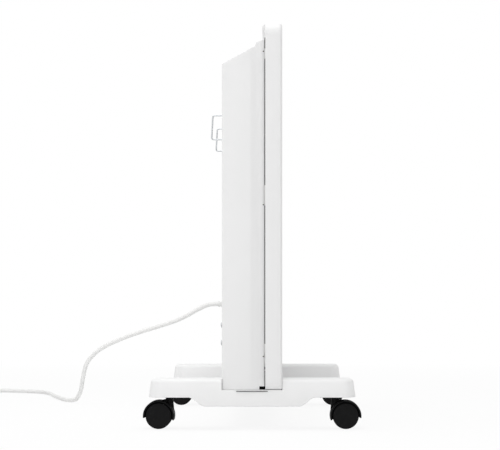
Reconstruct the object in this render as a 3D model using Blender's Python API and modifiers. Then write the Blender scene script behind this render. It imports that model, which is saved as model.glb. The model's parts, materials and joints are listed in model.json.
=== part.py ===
"""Convector heater on castor feet: a pressed front panel on a folded rear housing, all in metres.

The heater faces -Y, its width runs along X and +Z is up. The origin lies on the floor, under the
middle of the heater. The mains cord leaves the rear on the right, as seen from the front.
"""
from math import ceil, cos, pi, radians, sin

import bmesh
import bpy
from mathutils import Euler, Matrix, Vector

# Body: the panel tray and the housing behind it
BODY_DEPTH = 0.0738
BODY_LIFT = 0.049
PANEL_WIDTH = 0.589
PANEL_HEIGHT = 0.450
PANEL_DEPTH = 0.0207
PANEL_CORNER = 0.016
PANEL_EDGE = 0.0045
PANEL_LIP = 0.010
HOUSING_INSET = 0.012
HOUSING_WIDTH = PANEL_WIDTH - 2 * HOUSING_INSET
SHEET = 0.0012
SEAM = 0.0014
PANEL_RISE = 0.0203
CREST_RISE = 0.0033
CREST_RUN = 0.0100
STEP_RISE = 0.0053
STEP_RUN = 0.0022
SLOPE_RISE = 0.0220
SIDE_FLAT = 0.0345
SIDE_LEAN = 0.003
FOLD_RADIUS = 0.003
FLANGE_INSET = 0.0035
FLANGE_REACH = 0.011
FLANGE_START = 0.022
NOTCH_DEPTH = 0.0063
NOTCH_HEIGHT = 0.0039

# Gaps: between pieces that rest on each other, and round what turns; and how far a cut overruns
REST_GAP = 0.0003
TURN_GAP = 0.00028
OVERRUN = 0.004
MERGE = 0.00001

# Rail behind the panel's top edge
RAIL_REACH = 0.0138
RAIL_DROP = 0.0165
RAIL_SETBACK = 0.0004
BEAD_REACH = 0.0044

# Outlet grille in the front panel
WINDOW_SIDE = 0.040
WINDOW_DROP = 0.030
WINDOW_HEIGHT = 0.034
WINDOW_CORNER = 0.005
GRILLE_OVERLAP = 0.004
GRILLE_FRAME = 0.0035
BLADE_COUNT = 5
BLADE_DEPTH = 0.0075
BLADE_THICKNESS = 0.0014
BLADE_TILT = radians(32)
MULLION_COUNT = 3
MULLION_WIDTH = 0.003

# Catches along the seam, and clips at heights above the body's lower edge
CLIP_HEIGHTS = (0.0405, 0.2266, 0.4146)
CATCH_HEIGHTS = (0.012, 0.022)
CATCH_LIFT = 0.003
CLIP_DEPTH = 0.0026
CLIP_HEIGHT = 0.0030
CLIP_PROUD = 0.0005
STRIP_THICKNESS = 0.001
STRIP_DEPTH = 0.0082

# Bottom plate
SLOT_COLUMNS = 12
SLOT_ROWS = 2
SLOT_LENGTH = 0.026
SLOT_WIDTH = 0.009
SLOT_MARGIN = 0.064

# Heating element and what carries it
ELEMENT_HEIGHT = 0.070
ELEMENT_FROM_REAR = 0.0289
FIN_COUNT = 10
FIN_THICKNESS = 0.0024
FIN_REACH_ACROSS = 0.015
FIN_REACH_UP = 0.026
CORE_RADIUS = 0.0075
STUD_RADIUS = 0.003
STUD_LENGTH = 0.0075
ELEMENT_END_GAP = 0.005
BRACKET_FLANGE = 0.020
BRACKET_SHEET = 0.001
BRACKET_DEPTH = 0.045
BRACKET_LOW = 0.031
BRACKET_HEIGHT = 0.078
SHIELD_STANDOFF = 0.0075
SHIELD_LOW = 0.046
SHIELD_HEIGHT = 0.327
SHIELD_SHEET = 0.0008

# Control chassis at the right end, with the parts that it carries
CHASSIS_FLANGE = 0.0650
CHASSIS_LOW = 0.003
CHASSIS_HEIGHT = 0.378
CUTOUT_RADIUS = 0.008
CUTOUT_CAP_RADIUS = 0.0055
CUTOUT_DEPTH = 0.005
CUTOUT_CAP = 0.003
CUTOUT_ABOVE_ELEMENT = 0.044
BLOCK_SIZE = (0.018, 0.025, 0.030)
BLOCK_HEIGHT = 0.121
BLOCK_SCREW_RADIUS = 0.0025
BLOCK_SCREW_DEPTH = 0.003
BLOCK_SCREWS = 3
TILT_SIZE = (0.020, 0.014, 0.018)
TILT_HEIGHT = 0.011
WIRE_RADIUS = 0.0013
WIRE_BEND = 0.004
WIRE_LEAD = 0.009

# Control plate on the right side, with its knob and switches
PLATE_HEIGHT = 0.251
PLATE_FROM_REAR = 0.0187
PLATE_WIDTH = 0.028
PLATE_LENGTH = 0.110
PLATE_THICKNESS = 0.002
PLATE_CORNER = 0.004
PLATE_OVERLAP = 0.004
KNOB_RADIUS = 0.012
KNOB_SKIRT = 0.003
KNOB_HEIGHT = 0.0088
KNOB_GRIP = 0.007
KNOB_MARK = 0.0012
KNOB_ABOVE_MIDDLE = 0.033
KNOB_GAP = 0.0005
SPINDLE_RADIUS = 0.003
SPINDLE_SEAT = 0.008
THERMOSTAT_SIZE = (0.026, 0.026, 0.030)
ROCKER_SPACING = 0.027
ROCKER_BELOW_MIDDLE = 0.005
SWITCH_FRAME = (0.0022, 0.0150, 0.0210)
SWITCH_BODY = (0.013, 0.0126, 0.0186)
SWITCH_WALL = 0.0008
ROCKER_HALF_LENGTH = 0.0079
ROCKER_END = 0.0030
ROCKER_DIP = 0.0012
ROCKER_ROOT = 0.0020
ROCKER_WELL = 0.0048
ROCKER_TILT = radians(7)

# Wire loops on the rear, for winding the cord, and the brackets inside that hold them
LOOP_SPACING = 0.176
LOOP_LOW = 0.3245
LOOP_HEIGHT = 0.032
LOOP_REACH_TOP = 0.0189
LOOP_REACH_LOW = 0.0206
LOOP_WIRE_RADIUS = 0.0010
LOOP_CORNER = 0.0032
LOOP_HOOK = 0.006
LOOP_HOOK_RADIUS = 0.0018
LOOP_PLATE_WIDTH = 0.016
LOOP_PLATE_MARGIN = 0.009
LOOP_PLATE = 0.0015

# Cord gland and its nut
EXIT_FROM_SIDE = 0.0325
EXIT_HEIGHT = 0.1050
GLAND_FLANGE_RADIUS = 0.0110
GLAND_FLANGE = 0.0023
GLAND_TAIL_RADIUS = 0.006
GLAND_TAIL = 0.010
BOOT_ROOT_RADIUS = 0.0065
BOOT_TIP_RADIUS = 0.0040
BOOT_LENGTH = 0.020
NUT_RADIUS = 0.0095
NUT_THICKNESS = 0.004

# Screws near the rear edges, at heights above the body's lower edge
SCREW_HEIGHTS = (0.0573, 0.0792)
SCREW_FROM_SIDE = 0.008
SCREW_HEAD_RADIUS = 0.0035
SCREW_HEAD = 0.0014
SCREW_RADIUS = 0.0016
SCREW_LENGTH = 0.006

# Feet
FOOT_LENGTH = 0.254
FOOT_WIDTH = 0.060
FOOT_FROM_SIDE = 0.022
FOOT_RISE = 0.013
FOOT_DROP = 0.0205
FOOT_END_THICKNESS = 0.0225
FOOT_CORNER = 0.016
FOOT_EDGE = 0.006
MID_HALF_LENGTH = 0.057
MID_SLOPE_RUN = 0.017
FOOT_WALL = 0.003
FOOT_SEAT_GAP = 0.0005
FOOT_SIDE_GAP = 0.0004
SWIVEL_FROM_END = 0.0246
BOSS_RADIUS = 0.008
FOOT_SCREW_FROM_FRONT = 0.0072
FOOT_SCREW_FROM_REAR = 0.0114
FOOT_SCREW_HEAD_RADIUS = 0.005
FOOT_SCREW_HEAD = 0.003
FOOT_SCREW_SEAT = 0.007
FOOT_SCREW_RADIUS = 0.0025
FOOT_SCREW_REACH = 0.008

# Castors
WHEEL_RADIUS = 0.016
WHEEL_WIDTH = 0.009
WHEEL_ROUND = 0.0015
WHEEL_RIM = 0.0035
WHEEL_DISH = 0.0012
TRAIL = 0.0128
HOOD_GAP = 0.0012
HOOD_WALL = 0.002
HOOD_DROOP = radians(8)
WEB_WIDTH = 0.0096
WEB_LOBE = 0.009
AXLE_RADIUS = 0.002
NECK_RADIUS = 0.0045
STEM_RADIUS = 0.003
STEM_SEAT = 0.0125
COLLAR_RADIUS = 0.0055
COLLAR = 0.0012

# Mains cord, its coil, the tie and the plug
CORD_DIAMETER = 0.0065
CORD_STEP = 0.0150
COIL_MIDDLE = 0.075
COIL_TURNS = 3.25
COIL_PITCH = 0.0072
COIL_LAYER = 0.0071
COIL_RUN = 0.063
LOOP_POINTS = 24
TIE_THICKNESS = 0.0008
TIE_WIDTH = 0.008
TIE_GAP = 0.0008
TIE_TURN = 0.625
PLUG_RADIUS = 0.018
PLUG_EDGE = 0.002
PLUG_RELIEF = 0.034
PLUG_RELIEF_ROOT = 0.0062
PLUG_RELIEF_TIP = 0.0038
PIN_RADIUS = 0.0024
PIN_LENGTH = 0.019
PIN_SPACING = 0.019
PIN_ROUND = 0.0008

# Facets
ROUND_STEPS = 16
SMALL_STEPS = 12
WHEEL_STEPS = 24
ARC_STEPS = 4
SMOOTH_ANGLE = radians(35)

# The free cord's route, chosen by hand from the gland to the coil
CORD_ROUTE = (
    (0.2502, 0.0735, 0.1531),
    (0.2511, 0.0815, 0.1502),
    (0.2527, 0.0915, 0.1452),
    (0.2560, 0.1177, 0.1313),
    (0.2600, 0.1486, 0.1206),
    (0.2660, 0.1797, 0.1111),
    (0.2710, 0.2109, 0.0997),
    (0.2750, 0.2421, 0.0843),
    (0.2780, 0.2620, 0.0640),
    (0.2810, 0.2690, 0.0398),
    (0.2872, 0.2731, 0.0203),
    (0.2998, 0.2810, 0.0072),
    (0.3200, 0.2930, 0.0037),
    (0.3500, 0.3070, 0.0036),
    (0.3900, 0.3188, 0.0036),
    (0.4350, 0.3304, 0.0036),
    (0.4935, 0.3439, 0.0036),
    (0.5480, 0.3580, 0.0036),
    (0.5860, 0.3780, 0.0036),
    (0.6080, 0.4080, 0.0037),
    (0.6163, 0.4450, 0.0042),
)

# Places worked out from the sizes above
FRONT_Y = -BODY_DEPTH / 2
REAR_Y = BODY_DEPTH / 2
PANEL_BACK_Y = FRONT_Y + PANEL_DEPTH
HOUSING_FRONT_Y = PANEL_BACK_Y + SEAM
BEND_Y = REAR_Y - SIDE_FLAT
PANEL_TOP = BODY_LIFT + PANEL_HEIGHT
CREST_Z = PANEL_TOP - PANEL_RISE
STEP_TOP_Z = CREST_Z - CREST_RISE
STEP_LOW_Z = STEP_TOP_Z - STEP_RISE
REAR_TOP_Z = STEP_LOW_Z - SLOPE_RISE
HALF_HOUSING = HOUSING_WIDTH / 2
HALF_PANEL = PANEL_WIDTH / 2
FRONT_HALF = HALF_HOUSING - SIDE_LEAN
FLANGE_HALF = FRONT_HALF - FLANGE_INSET
FLANGE_Y = HOUSING_FRONT_Y - FLANGE_REACH
WALL_INNER_Y = REAR_Y - SHEET
WALL_INNER_X = HALF_HOUSING - SHEET
BRACKET_BACK_Y = WALL_INNER_Y - REST_GAP
BRACKET_FRONT_Y = BRACKET_BACK_Y - BRACKET_SHEET
BRACKET_X = -(HALF_HOUSING - BRACKET_FLANGE)
CHASSIS_X = WALL_INNER_X - CHASSIS_FLANGE
CHASSIS_FACE_X = CHASSIS_X + BRACKET_SHEET / 2 + REST_GAP
BOTTOM_LOW = BODY_LIFT + REST_GAP
BOTTOM_TOP = BOTTOM_LOW + SHEET
BOTTOM_FRONT_Y = HOUSING_FRONT_Y + NOTCH_DEPTH + REST_GAP
BOTTOM_BACK_Y = WALL_INNER_Y - REST_GAP
ELEMENT_Y = REAR_Y - ELEMENT_FROM_REAR
ELEMENT_Z = BODY_LIFT + ELEMENT_HEIGHT
BLOCK_LOW = BODY_LIFT + BLOCK_HEIGHT
PLATE_Y = REAR_Y - PLATE_FROM_REAR
PLATE_Z = BODY_LIFT + PLATE_HEIGHT
PLATE_LOW_X = HALF_HOUSING + REST_GAP
PLATE_FACE_X = PLATE_LOW_X + PLATE_THICKNESS
KNOB_Z = PLATE_Z + KNOB_ABOVE_MIDDLE
ROCKER_PLACES = tuple(PLATE_Z - ROCKER_BELOW_MIDDLE - i * ROCKER_SPACING for i in range(2))
THERMOSTAT_FACE_X = WALL_INNER_X - REST_GAP
EXIT_X = HALF_HOUSING - EXIT_FROM_SIDE
EXIT_Z = BODY_LIFT + EXIT_HEIGHT
SCREW_X = HALF_HOUSING - SCREW_FROM_SIDE
FOOT_TOP = BODY_LIFT + FOOT_RISE
FOOT_LOW = BODY_LIFT - FOOT_DROP
FOOT_END_LOW = FOOT_TOP - FOOT_END_THICKNESS
FOOT_X = HALF_HOUSING - FOOT_FROM_SIDE
SEAT_Z = BODY_LIFT - FOOT_SEAT_GAP
FOOT_SCREW_PLACES = (BOTTOM_FRONT_Y + FOOT_SCREW_FROM_FRONT, BOTTOM_BACK_Y - FOOT_SCREW_FROM_REAR)
SWIVEL_Y = FOOT_LENGTH / 2 - SWIVEL_FROM_END
HOOD_INNER = WHEEL_RADIUS + HOOD_GAP
HOOD_OUTER = HOOD_INNER + HOOD_WALL
WHEEL_NEAR = WEB_WIDTH / 2 + REST_GAP
CORD_RADIUS = CORD_DIAMETER / 2
LOOP_PLACES = (-LOOP_SPACING / 2, LOOP_SPACING / 2)


# Scene, collections and finishes

def empty_scene():
    for item in list(bpy.data.objects):
        bpy.data.objects.remove(item, do_unlink=True)


def new_collection(name):
    group = bpy.data.collections.new(name)
    bpy.context.scene.collection.children.link(group)
    return group


empty_scene()
PARTS = new_collection("convector_heater")
CUTTERS = new_collection("cutters")


def finish(name, colour, roughness, metallic=0.0):
    material = bpy.data.materials.new(name)
    material.use_nodes = True
    shader = material.node_tree.nodes["Principled BSDF"]
    shader.inputs["Base Color"].default_value = (*colour, 1)
    shader.inputs["Roughness"].default_value = roughness
    shader.inputs["Metallic"].default_value = metallic
    return material


WHITE_PAINT = finish("white_painted_steel", (0.83, 0.83, 0.83), 0.42)
WHITE_PLASTIC = finish("white_moulded_plastic", (0.84, 0.84, 0.84), 0.38)
GREY_GRILLE = finish("grey_coated_grille", (0.55, 0.55, 0.55), 0.5)
BLACK_PLASTIC = finish("black_moulded_plastic", (0.016, 0.016, 0.017), 0.3)
BLACK_TREAD = finish("black_wheel_tread", (0.022, 0.022, 0.022), 0.55)
GALVANISED = finish("galvanised_steel", (0.62, 0.63, 0.64), 0.4, 1.0)
BARE_STEEL = finish("bright_steel", (0.66, 0.66, 0.66), 0.25, 1.0)
ALUMINIUM = finish("extruded_aluminium", (0.72, 0.73, 0.74), 0.45, 1.0)
CREAM_PLASTIC = finish("cream_moulded_plastic", (0.72, 0.68, 0.58), 0.5)
WHITE_CORD = finish("white_cord_sheath", (0.80, 0.80, 0.80), 0.5)
BROWN_WIRE = finish("brown_wire_sheath", (0.16, 0.05, 0.02), 0.5)
BLACK_TIE = finish("black_tie", (0.02, 0.02, 0.02), 0.6)


# Shapes shared by the sub-parts

def adopt(item, material):
    """Links an object as a part if it has a material, and as a cutter if not."""
    if material:
        item.data.materials.append(material)
        PARTS.objects.link(item)
    else:
        item.hide_render = True
        item.display_type = "WIRE"
        CUTTERS.objects.link(item)


def placed(name, bm, material=None, where=(0, 0, 0), turn=(0, 0, 0)):
    mesh = bpy.data.meshes.new(name)
    bm.to_mesh(mesh)
    bm.free()
    item = bpy.data.objects.new(name, mesh)
    item.location = where
    item.rotation_euler = turn
    adopt(item, material)
    return item


def add_block(bm, low, high):
    low, high = Vector(low), Vector(high)
    size = Matrix.Diagonal((*(high - low), 1))
    bmesh.ops.create_cube(bm, size=1, matrix=Matrix.Translation((low + high) / 2) @ size)


def add_rod(bm, start, end, radius, steps=ROUND_STEPS):
    start, end = Vector(start), Vector(end)
    aim = (end - start).to_track_quat("Z", "Y").to_matrix().to_4x4()
    bmesh.ops.create_cone(
        bm, cap_ends=True, segments=steps, radius1=radius, radius2=radius,
        depth=(end - start).length, matrix=Matrix.Translation((start + end) / 2) @ aim,
    )


def block(name, low, high, material=None):
    """A box between two corners, with its origin at its middle."""
    middle = (Vector(low) + Vector(high)) / 2
    bm = bmesh.new()
    add_block(bm, Vector(low) - middle, Vector(high) - middle)
    return placed(name, bm, material, middle)


def rod(name, start, end, radius, material=None, steps=ROUND_STEPS):
    middle = (Vector(start) + Vector(end)) / 2
    bm = bmesh.new()
    add_rod(bm, Vector(start) - middle, Vector(end) - middle, radius, steps)
    return placed(name, bm, material, middle)


def combine(item, other, operation):
    boolean = item.modifiers.new(other.name, "BOOLEAN")
    boolean.operation = operation
    boolean.object = other


def cut(item, *cutters):
    for cutter in cutters:
        combine(item, cutter, "DIFFERENCE")
    return item


def join(item, *others):
    for other in others:
        combine(item, other, "UNION")
    return item


def turned(name, profile, material=None, where=(0, 0, 0), turn=(0, 0, 0), steps=ROUND_STEPS, ring=False):
    """A profile of (radius, height) points turned about Z, its outer side from top to bottom."""
    bm = bmesh.new()
    points = [bm.verts.new((radius, 0, height)) for radius, height in profile]
    for start, end in zip(points, points[1:]):
        bm.edges.new((start, end))
    if ring:
        bm.edges.new((points[-1], points[0]))
    item = placed(name, bm, material, where, turn)
    screw = item.modifiers.new("turn", "SCREW")
    screw.steps = steps
    screw.render_steps = steps
    screw.use_merge_vertices = True
    screw.merge_threshold = MERGE
    return item


def lay_square(axis):
    """The turn that lays a flat drawing square to an axis, its first direction before its second."""
    turns = {
        "X": Matrix(((0, 0, 1), (1, 0, 0), (0, 1, 0))),
        "Y": Matrix(((1, 0, 0), (0, 0, -1), (0, 1, 0))),
        "Z": Matrix.Identity(3),
    }
    return turns[axis]


def along_axis(axis, distance):
    way = Vector((0, 0, 0))
    way["XYZ".index(axis)] = distance
    return way


def flat_shape(name, outline, axis, low, high, material=None):
    """A flat outline with thickness along an axis. Its points are (y, z), (x, z) or (x, y)."""
    curve = bpy.data.curves.new(name, "CURVE")
    curve.dimensions = "2D"
    curve.fill_mode = "BOTH"
    curve.extrude = (high - low) / 2
    spline = curve.splines.new("POLY")
    spline.points.add(len(outline) - 1)
    for point, (across, up) in zip(spline.points, outline):
        point.co = (across, up, 0, 1)
    spline.use_cyclic_u = True
    item = bpy.data.objects.new(name, curve)
    item.rotation_euler = lay_square(axis).to_euler()
    item.location = along_axis(axis, (low + high) / 2)
    return meshed(item, material)


def meshed(item, material=None):
    """The object as a closed mesh object in the same place, its modifiers applied."""
    if not item.users_collection:
        CUTTERS.objects.link(item)
    bpy.context.view_layer.update()
    view = item.evaluated_get(bpy.context.evaluated_depsgraph_get())
    mesh = bpy.data.meshes.new_from_object(view)
    bm = bmesh.new()
    bm.from_mesh(mesh)
    bmesh.ops.remove_doubles(bm, verts=bm.verts, dist=MERGE)
    bmesh.ops.recalc_face_normals(bm, faces=bm.faces)
    bm.to_mesh(mesh)
    bm.free()
    mesh.shade_smooth()
    mesh.set_sharp_from_angle(angle=SMOOTH_ANGLE)
    mesh.materials.clear()
    name, where = item.name, item.matrix_world.copy()
    bpy.data.objects.remove(item)
    made = bpy.data.objects.new(name, mesh)
    made.matrix_world = where
    adopt(made, material)
    return made


def tube(name, points, radius, material, resolution=2, where=(0, 0, 0)):
    curve = bpy.data.curves.new(name, "CURVE")
    curve.dimensions = "3D"
    curve.bevel_depth = radius
    curve.bevel_resolution = resolution
    curve.use_fill_caps = True
    spline = curve.splines.new("POLY")
    spline.points.add(len(points) - 1)
    for point, place in zip(spline.points, points):
        point.co = (*(Vector(place) - Vector(where)), 1)
    spline.use_smooth = True
    item = bpy.data.objects.new(name, curve)
    item.location = where
    adopt(item, material)
    return item


def new_verts(made):
    return [v for v in made["geom"] if isinstance(v, bmesh.types.BMVert)]


def folded_sheet(name, path, axis, low, high, thickness, material):
    """A strip of sheet metal folded along a path, which is the middle of its thickness."""
    bm = bmesh.new()
    turn = lay_square(axis)
    line = [bm.verts.new(turn @ Vector((across, up, 0))) for across, up in path]
    edges = [bm.edges.new(pair) for pair in zip(line, line[1:])]
    made = bmesh.ops.extrude_edge_only(bm, edges=edges)
    bmesh.ops.translate(bm, vec=along_axis(axis, high - low), verts=new_verts(made))
    item = placed(name, bm, material, along_axis(axis, low))
    solidify = item.modifiers.new("thickness", "SOLIDIFY")
    solidify.thickness = thickness
    solidify.offset = 0
    solidify.use_even_offset = True
    return item


def arc(across, up, radius, start, end, steps):
    angles = [start + (end - start) * i / steps for i in range(steps + 1)]
    return [(across + radius * cos(a), up + radius * sin(a)) for a in angles]


def rounded_rectangle(width, height, radius, across=0, up=0):
    radius = min(radius, width / 2 - REST_GAP, height / 2 - REST_GAP)
    corners = ((1, 1, 0), (-1, 1, 1), (-1, -1, 2), (1, -1, 3))
    return [
        point
        for side, top, quarter in corners
        for point in arc(
            across + side * (width / 2 - radius), up + top * (height / 2 - radius), radius,
            quarter * pi / 2, (quarter + 1) * pi / 2, ARC_STEPS,
        )
    ]


def rounded_path(points, radii):
    """The points with a curve in place of each inner corner, each with its own radius."""
    points = [Vector(p) for p in points]
    path = [points[0]]
    for before, corner, after, radius in zip(points, points[1:], points[2:], radii):
        towards, onwards = (before - corner).normalized(), (after - corner).normalized()
        start, end = corner + towards * radius, corner + onwards * radius
        for i in range(ARC_STEPS + 1):
            share = i / ARC_STEPS
            path.append(start.lerp(corner, share).lerp(corner.lerp(end, share), share))
    return path + [points[-1]]


def round_edges(item, width):
    bevel = item.modifiers.new("rounding", "BEVEL")
    bevel.width = width
    bevel.segments = 2
    return item


def sheet_metal(item):
    solidify = item.modifiers.new("sheet", "SOLIDIFY")
    solidify.thickness = SHEET
    solidify.offset = -1
    solidify.use_even_offset = True
    return item


# Front panel and what is fixed to it

def front_panel():
    """A tray with rounded edges, open at the back but for a narrow lip at its sides and foot."""
    bm = bmesh.new()
    add_block(bm, (-HALF_PANEL, FRONT_Y, BODY_LIFT), (HALF_PANEL, PANEL_BACK_Y, PANEL_TOP))
    corners = [e for e in bm.edges if abs(e.verts[0].co.y - e.verts[1].co.y) > PANEL_DEPTH / 2]
    bmesh.ops.bevel(
        bm, geom=corners, offset=PANEL_CORNER, segments=ARC_STEPS + 1, profile=0.5, affect="EDGES"
    )
    middle_y = (FRONT_Y + PANEL_BACK_Y) / 2
    rim = [e for e in bm.edges if all(v.co.y < middle_y for v in e.verts)]
    bmesh.ops.bevel(
        bm, geom=rim, offset=PANEL_EDGE, segments=ARC_STEPS - 1, profile=0.5, affect="EDGES"
    )
    back = [f for f in bm.faces if all(v.co.y > middle_y for v in f.verts)]
    bmesh.ops.inset_region(bm, faces=back, thickness=PANEL_LIP, use_even_offset=True)
    top = PANEL_TOP - PANEL_CORNER
    lip_top = [
        f for f in bm.faces
        if all(v.co.y > middle_y for v in f.verts) and f.calc_center_median().z > top
    ]
    bmesh.ops.delete(bm, geom=back + lip_top, context="FACES")
    panel = sheet_metal(placed("front_panel", bm, WHITE_PAINT))
    window = flat_shape(
        "window_cutter",
        rounded_rectangle(PANEL_WIDTH - 2 * WINDOW_SIDE, WINDOW_HEIGHT, WINDOW_CORNER,
                          up=PANEL_TOP - WINDOW_DROP - WINDOW_HEIGHT / 2),
        "Y", FRONT_Y - OVERRUN, FRONT_Y + OVERRUN,
    )
    cut(panel, window)


def panel_top_rail():
    top = PANEL_TOP - SHEET - REST_GAP - SHEET / 2
    front = PANEL_BACK_Y - RAIL_REACH
    back = PANEL_BACK_Y - RAIL_SETBACK
    bead = back + BEAD_REACH - SHEET / 2
    path = [
        (front, top), (back, top), (bead, top - RAIL_DROP / 2), (back, top - RAIL_DROP),
        (front, top - RAIL_DROP),
    ]
    half = HALF_PANEL - PANEL_CORNER
    folded_sheet("panel_top_rail", path, "X", -half, half, SHEET, WHITE_PAINT)


def outlet_grille():
    """A frame behind the panel's window, with tilted blades and upright mullions."""
    half = PANEL_WIDTH / 2 - WINDOW_SIDE
    middle = PANEL_TOP - WINDOW_DROP - WINDOW_HEIGHT / 2
    low, high = middle - WINDOW_HEIGHT / 2, middle + WINDOW_HEIGHT / 2
    front = FRONT_Y + SHEET + REST_GAP
    back = front + GRILLE_FRAME
    grille = block(
        "outlet_grille", (-half - GRILLE_OVERLAP, front, low - GRILLE_OVERLAP),
        (half + GRILLE_OVERLAP, back, high + GRILLE_OVERLAP), GREY_GRILLE,
    )
    opening = block("grille_opening_cutter", (-half, front - OVERRUN, low), (half, back + OVERRUN, high))
    blade_y = front + REST_GAP + (BLADE_DEPTH * cos(BLADE_TILT) + BLADE_THICKNESS * sin(BLADE_TILT)) / 2
    pitch = WINDOW_HEIGHT / (BLADE_COUNT + 1)
    bm = bmesh.new()
    for i in range(BLADE_COUNT):
        place = Matrix.Translation((0, blade_y, low + (i + 1) * pitch))
        tilt = Matrix.Rotation(BLADE_TILT, 4, "X")
        size = Matrix.Diagonal((2 * half + GRILLE_OVERLAP, BLADE_DEPTH, BLADE_THICKNESS, 1))
        bmesh.ops.create_cube(bm, size=1, matrix=place @ tilt @ size)
    blades = placed("grille_blades", bm)
    bm = bmesh.new()
    for i in range(MULLION_COUNT):
        across = -half + (i + 1) * 2 * half / (MULLION_COUNT + 1)
        add_block(
            bm,
            (across - MULLION_WIDTH / 2, front + GRILLE_FRAME / 3, low - GRILLE_OVERLAP / 2),
            (across + MULLION_WIDTH / 2, back - REST_GAP, high + GRILLE_OVERLAP / 2),
        )
    cut(grille, opening)
    join(grille, placed("grille_mullions", bm), blades)


# Rear housing

def housing_surface():
    """Half of the folded shell as an open surface, from the middle to the right side."""
    outline = [
        (REAR_Y, BODY_LIFT),
        (REAR_Y, REAR_TOP_Z),
        (HOUSING_FRONT_Y + CREST_RUN + STEP_RUN, STEP_LOW_Z),
        (HOUSING_FRONT_Y + CREST_RUN, STEP_TOP_Z),
        (HOUSING_FRONT_Y, CREST_Z),
        (HOUSING_FRONT_Y, BODY_LIFT),
    ]
    bm = bmesh.new()
    face = bm.faces.new([bm.verts.new((0, y, z)) for y, z in outline])
    made = bmesh.ops.extrude_face_region(bm, geom=[face])
    bmesh.ops.translate(bm, vec=(HALF_HOUSING, 0, 0), verts=new_verts(made))
    bmesh.ops.recalc_face_normals(bm, faces=bm.faces)
    bmesh.ops.bisect_plane(
        bm, geom=bm.verts[:] + bm.edges[:] + bm.faces[:], plane_co=(0, BEND_Y, 0), plane_no=(0, 1, 0)
    )
    lean = SIDE_LEAN / (BEND_Y - HOUSING_FRONT_Y)
    for v in bm.verts:
        if v.co.x > HALF_HOUSING / 2 and v.co.y < BEND_Y:
            v.co.x -= lean * (BEND_Y - v.co.y)
    open_sides = [
        f for f in bm.faces
        if all(v.co.x < MERGE for v in f.verts)
        or all(v.co.y < HOUSING_FRONT_Y + MERGE for v in f.verts)
        or all(v.co.z < BODY_LIFT + MERGE for v in f.verts)
    ]
    bmesh.ops.delete(bm, geom=open_sides, context="FACES")
    folds = [e for e in bm.edges if len(e.link_faces) == 2 and e.calc_face_angle() > radians(5)]
    bmesh.ops.bevel(
        bm, geom=folds, offset=FOLD_RADIUS, segments=2, profile=0.5, affect="EDGES", clamp_overlap=True
    )
    return bm


def add_front_flange(bm):
    """The shell's front edge steps inwards, and then runs forwards into the tray."""
    rim = [
        e for e in bm.edges
        if len(e.link_faces) == 1 and all(abs(v.co.y - HOUSING_FRONT_Y) < MERGE for v in e.verts)
    ]
    inward = bmesh.ops.extrude_edge_only(bm, edges=rim)
    across = FLANGE_HALF / FRONT_HALF
    up = 1 - FLANGE_INSET / (CREST_Z - BODY_LIFT)
    for v in new_verts(inward):
        v.co.x *= across
        v.co.z = BODY_LIFT + (v.co.z - BODY_LIFT) * up
    edges = [e for e in inward["geom"] if isinstance(e, bmesh.types.BMEdge)]
    forward = bmesh.ops.extrude_edge_only(bm, edges=edges)
    bmesh.ops.translate(bm, vec=(0, -FLANGE_REACH, 0), verts=new_verts(forward))
    bmesh.ops.recalc_face_normals(bm, faces=bm.faces)


def add_side_block(bm, side, near, far, y_span, z_span):
    """A block on one side, from near to far across, whichever side it is on."""
    low, high = sorted((side * near, side * far))
    add_block(bm, (low, y_span[0], z_span[0]), (high, y_span[1], z_span[1]))


def clip_notch_cutter():
    """The notches for the clips, and the notch at the foot of each side wall."""
    bm = bmesh.new()
    outside = HALF_HOUSING + OVERRUN
    half = CLIP_HEIGHT / 2 + REST_GAP
    for side in (-1, 1):
        for height in CLIP_HEIGHTS:
            middle = BODY_LIFT + height
            add_side_block(
                bm, side, FLANGE_HALF + REST_GAP / 2, outside,
                (HOUSING_FRONT_Y - OVERRUN / 2, HOUSING_FRONT_Y + CLIP_DEPTH + REST_GAP),
                (middle - half, middle + half),
            )
        add_side_block(
            bm, side, FLANGE_HALF - 2 * SHEET, outside,
            (FLANGE_Y - OVERRUN, HOUSING_FRONT_Y + NOTCH_DEPTH),
            (BODY_LIFT - OVERRUN, BODY_LIFT + NOTCH_HEIGHT),
        )
    return placed("clip_notch_cutter", bm)


def flange_start_cutter():
    """The flange doesn't reach the foot of the side walls."""
    bm = bmesh.new()
    for side in (-1, 1):
        add_side_block(
            bm, side, FLANGE_HALF - 2 * SHEET, HALF_HOUSING + OVERRUN,
            (FLANGE_Y - OVERRUN, HOUSING_FRONT_Y - REST_GAP),
            (BODY_LIFT - OVERRUN, BODY_LIFT + FLANGE_START),
        )
    return placed("flange_start_cutter", bm)


def add_screw_holes(bm, side, start, end):
    for up in SCREW_HEIGHTS:
        height = BODY_LIFT + up
        add_rod(
            bm, (side * SCREW_X, start, height), (side * SCREW_X, end, height),
            SCREW_RADIUS + REST_GAP, SMALL_STEPS,
        )


def add_loop_holes(bm, across, start, end):
    for up in (LOOP_LOW, LOOP_LOW + LOOP_HEIGHT):
        height = BODY_LIFT + up
        add_rod(bm, (across, start, height), (across, end, height), LOOP_WIRE_RADIUS + REST_GAP, SMALL_STEPS)


def rear_wall_cutter():
    """Holes in the rear wall for the wire loops, the screws and the cord gland."""
    bm = bmesh.new()
    start, end = WALL_INNER_Y - OVERRUN / 2, REAR_Y + OVERRUN
    for across in LOOP_PLACES:
        add_loop_holes(bm, across, start, end)
    for side in (-1, 1):
        add_screw_holes(bm, side, start, end)
    add_rod(bm, (EXIT_X, start, EXIT_Z), (EXIT_X, end, EXIT_Z), GLAND_TAIL_RADIUS + REST_GAP)
    return placed("rear_wall_cutter", bm)


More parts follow.
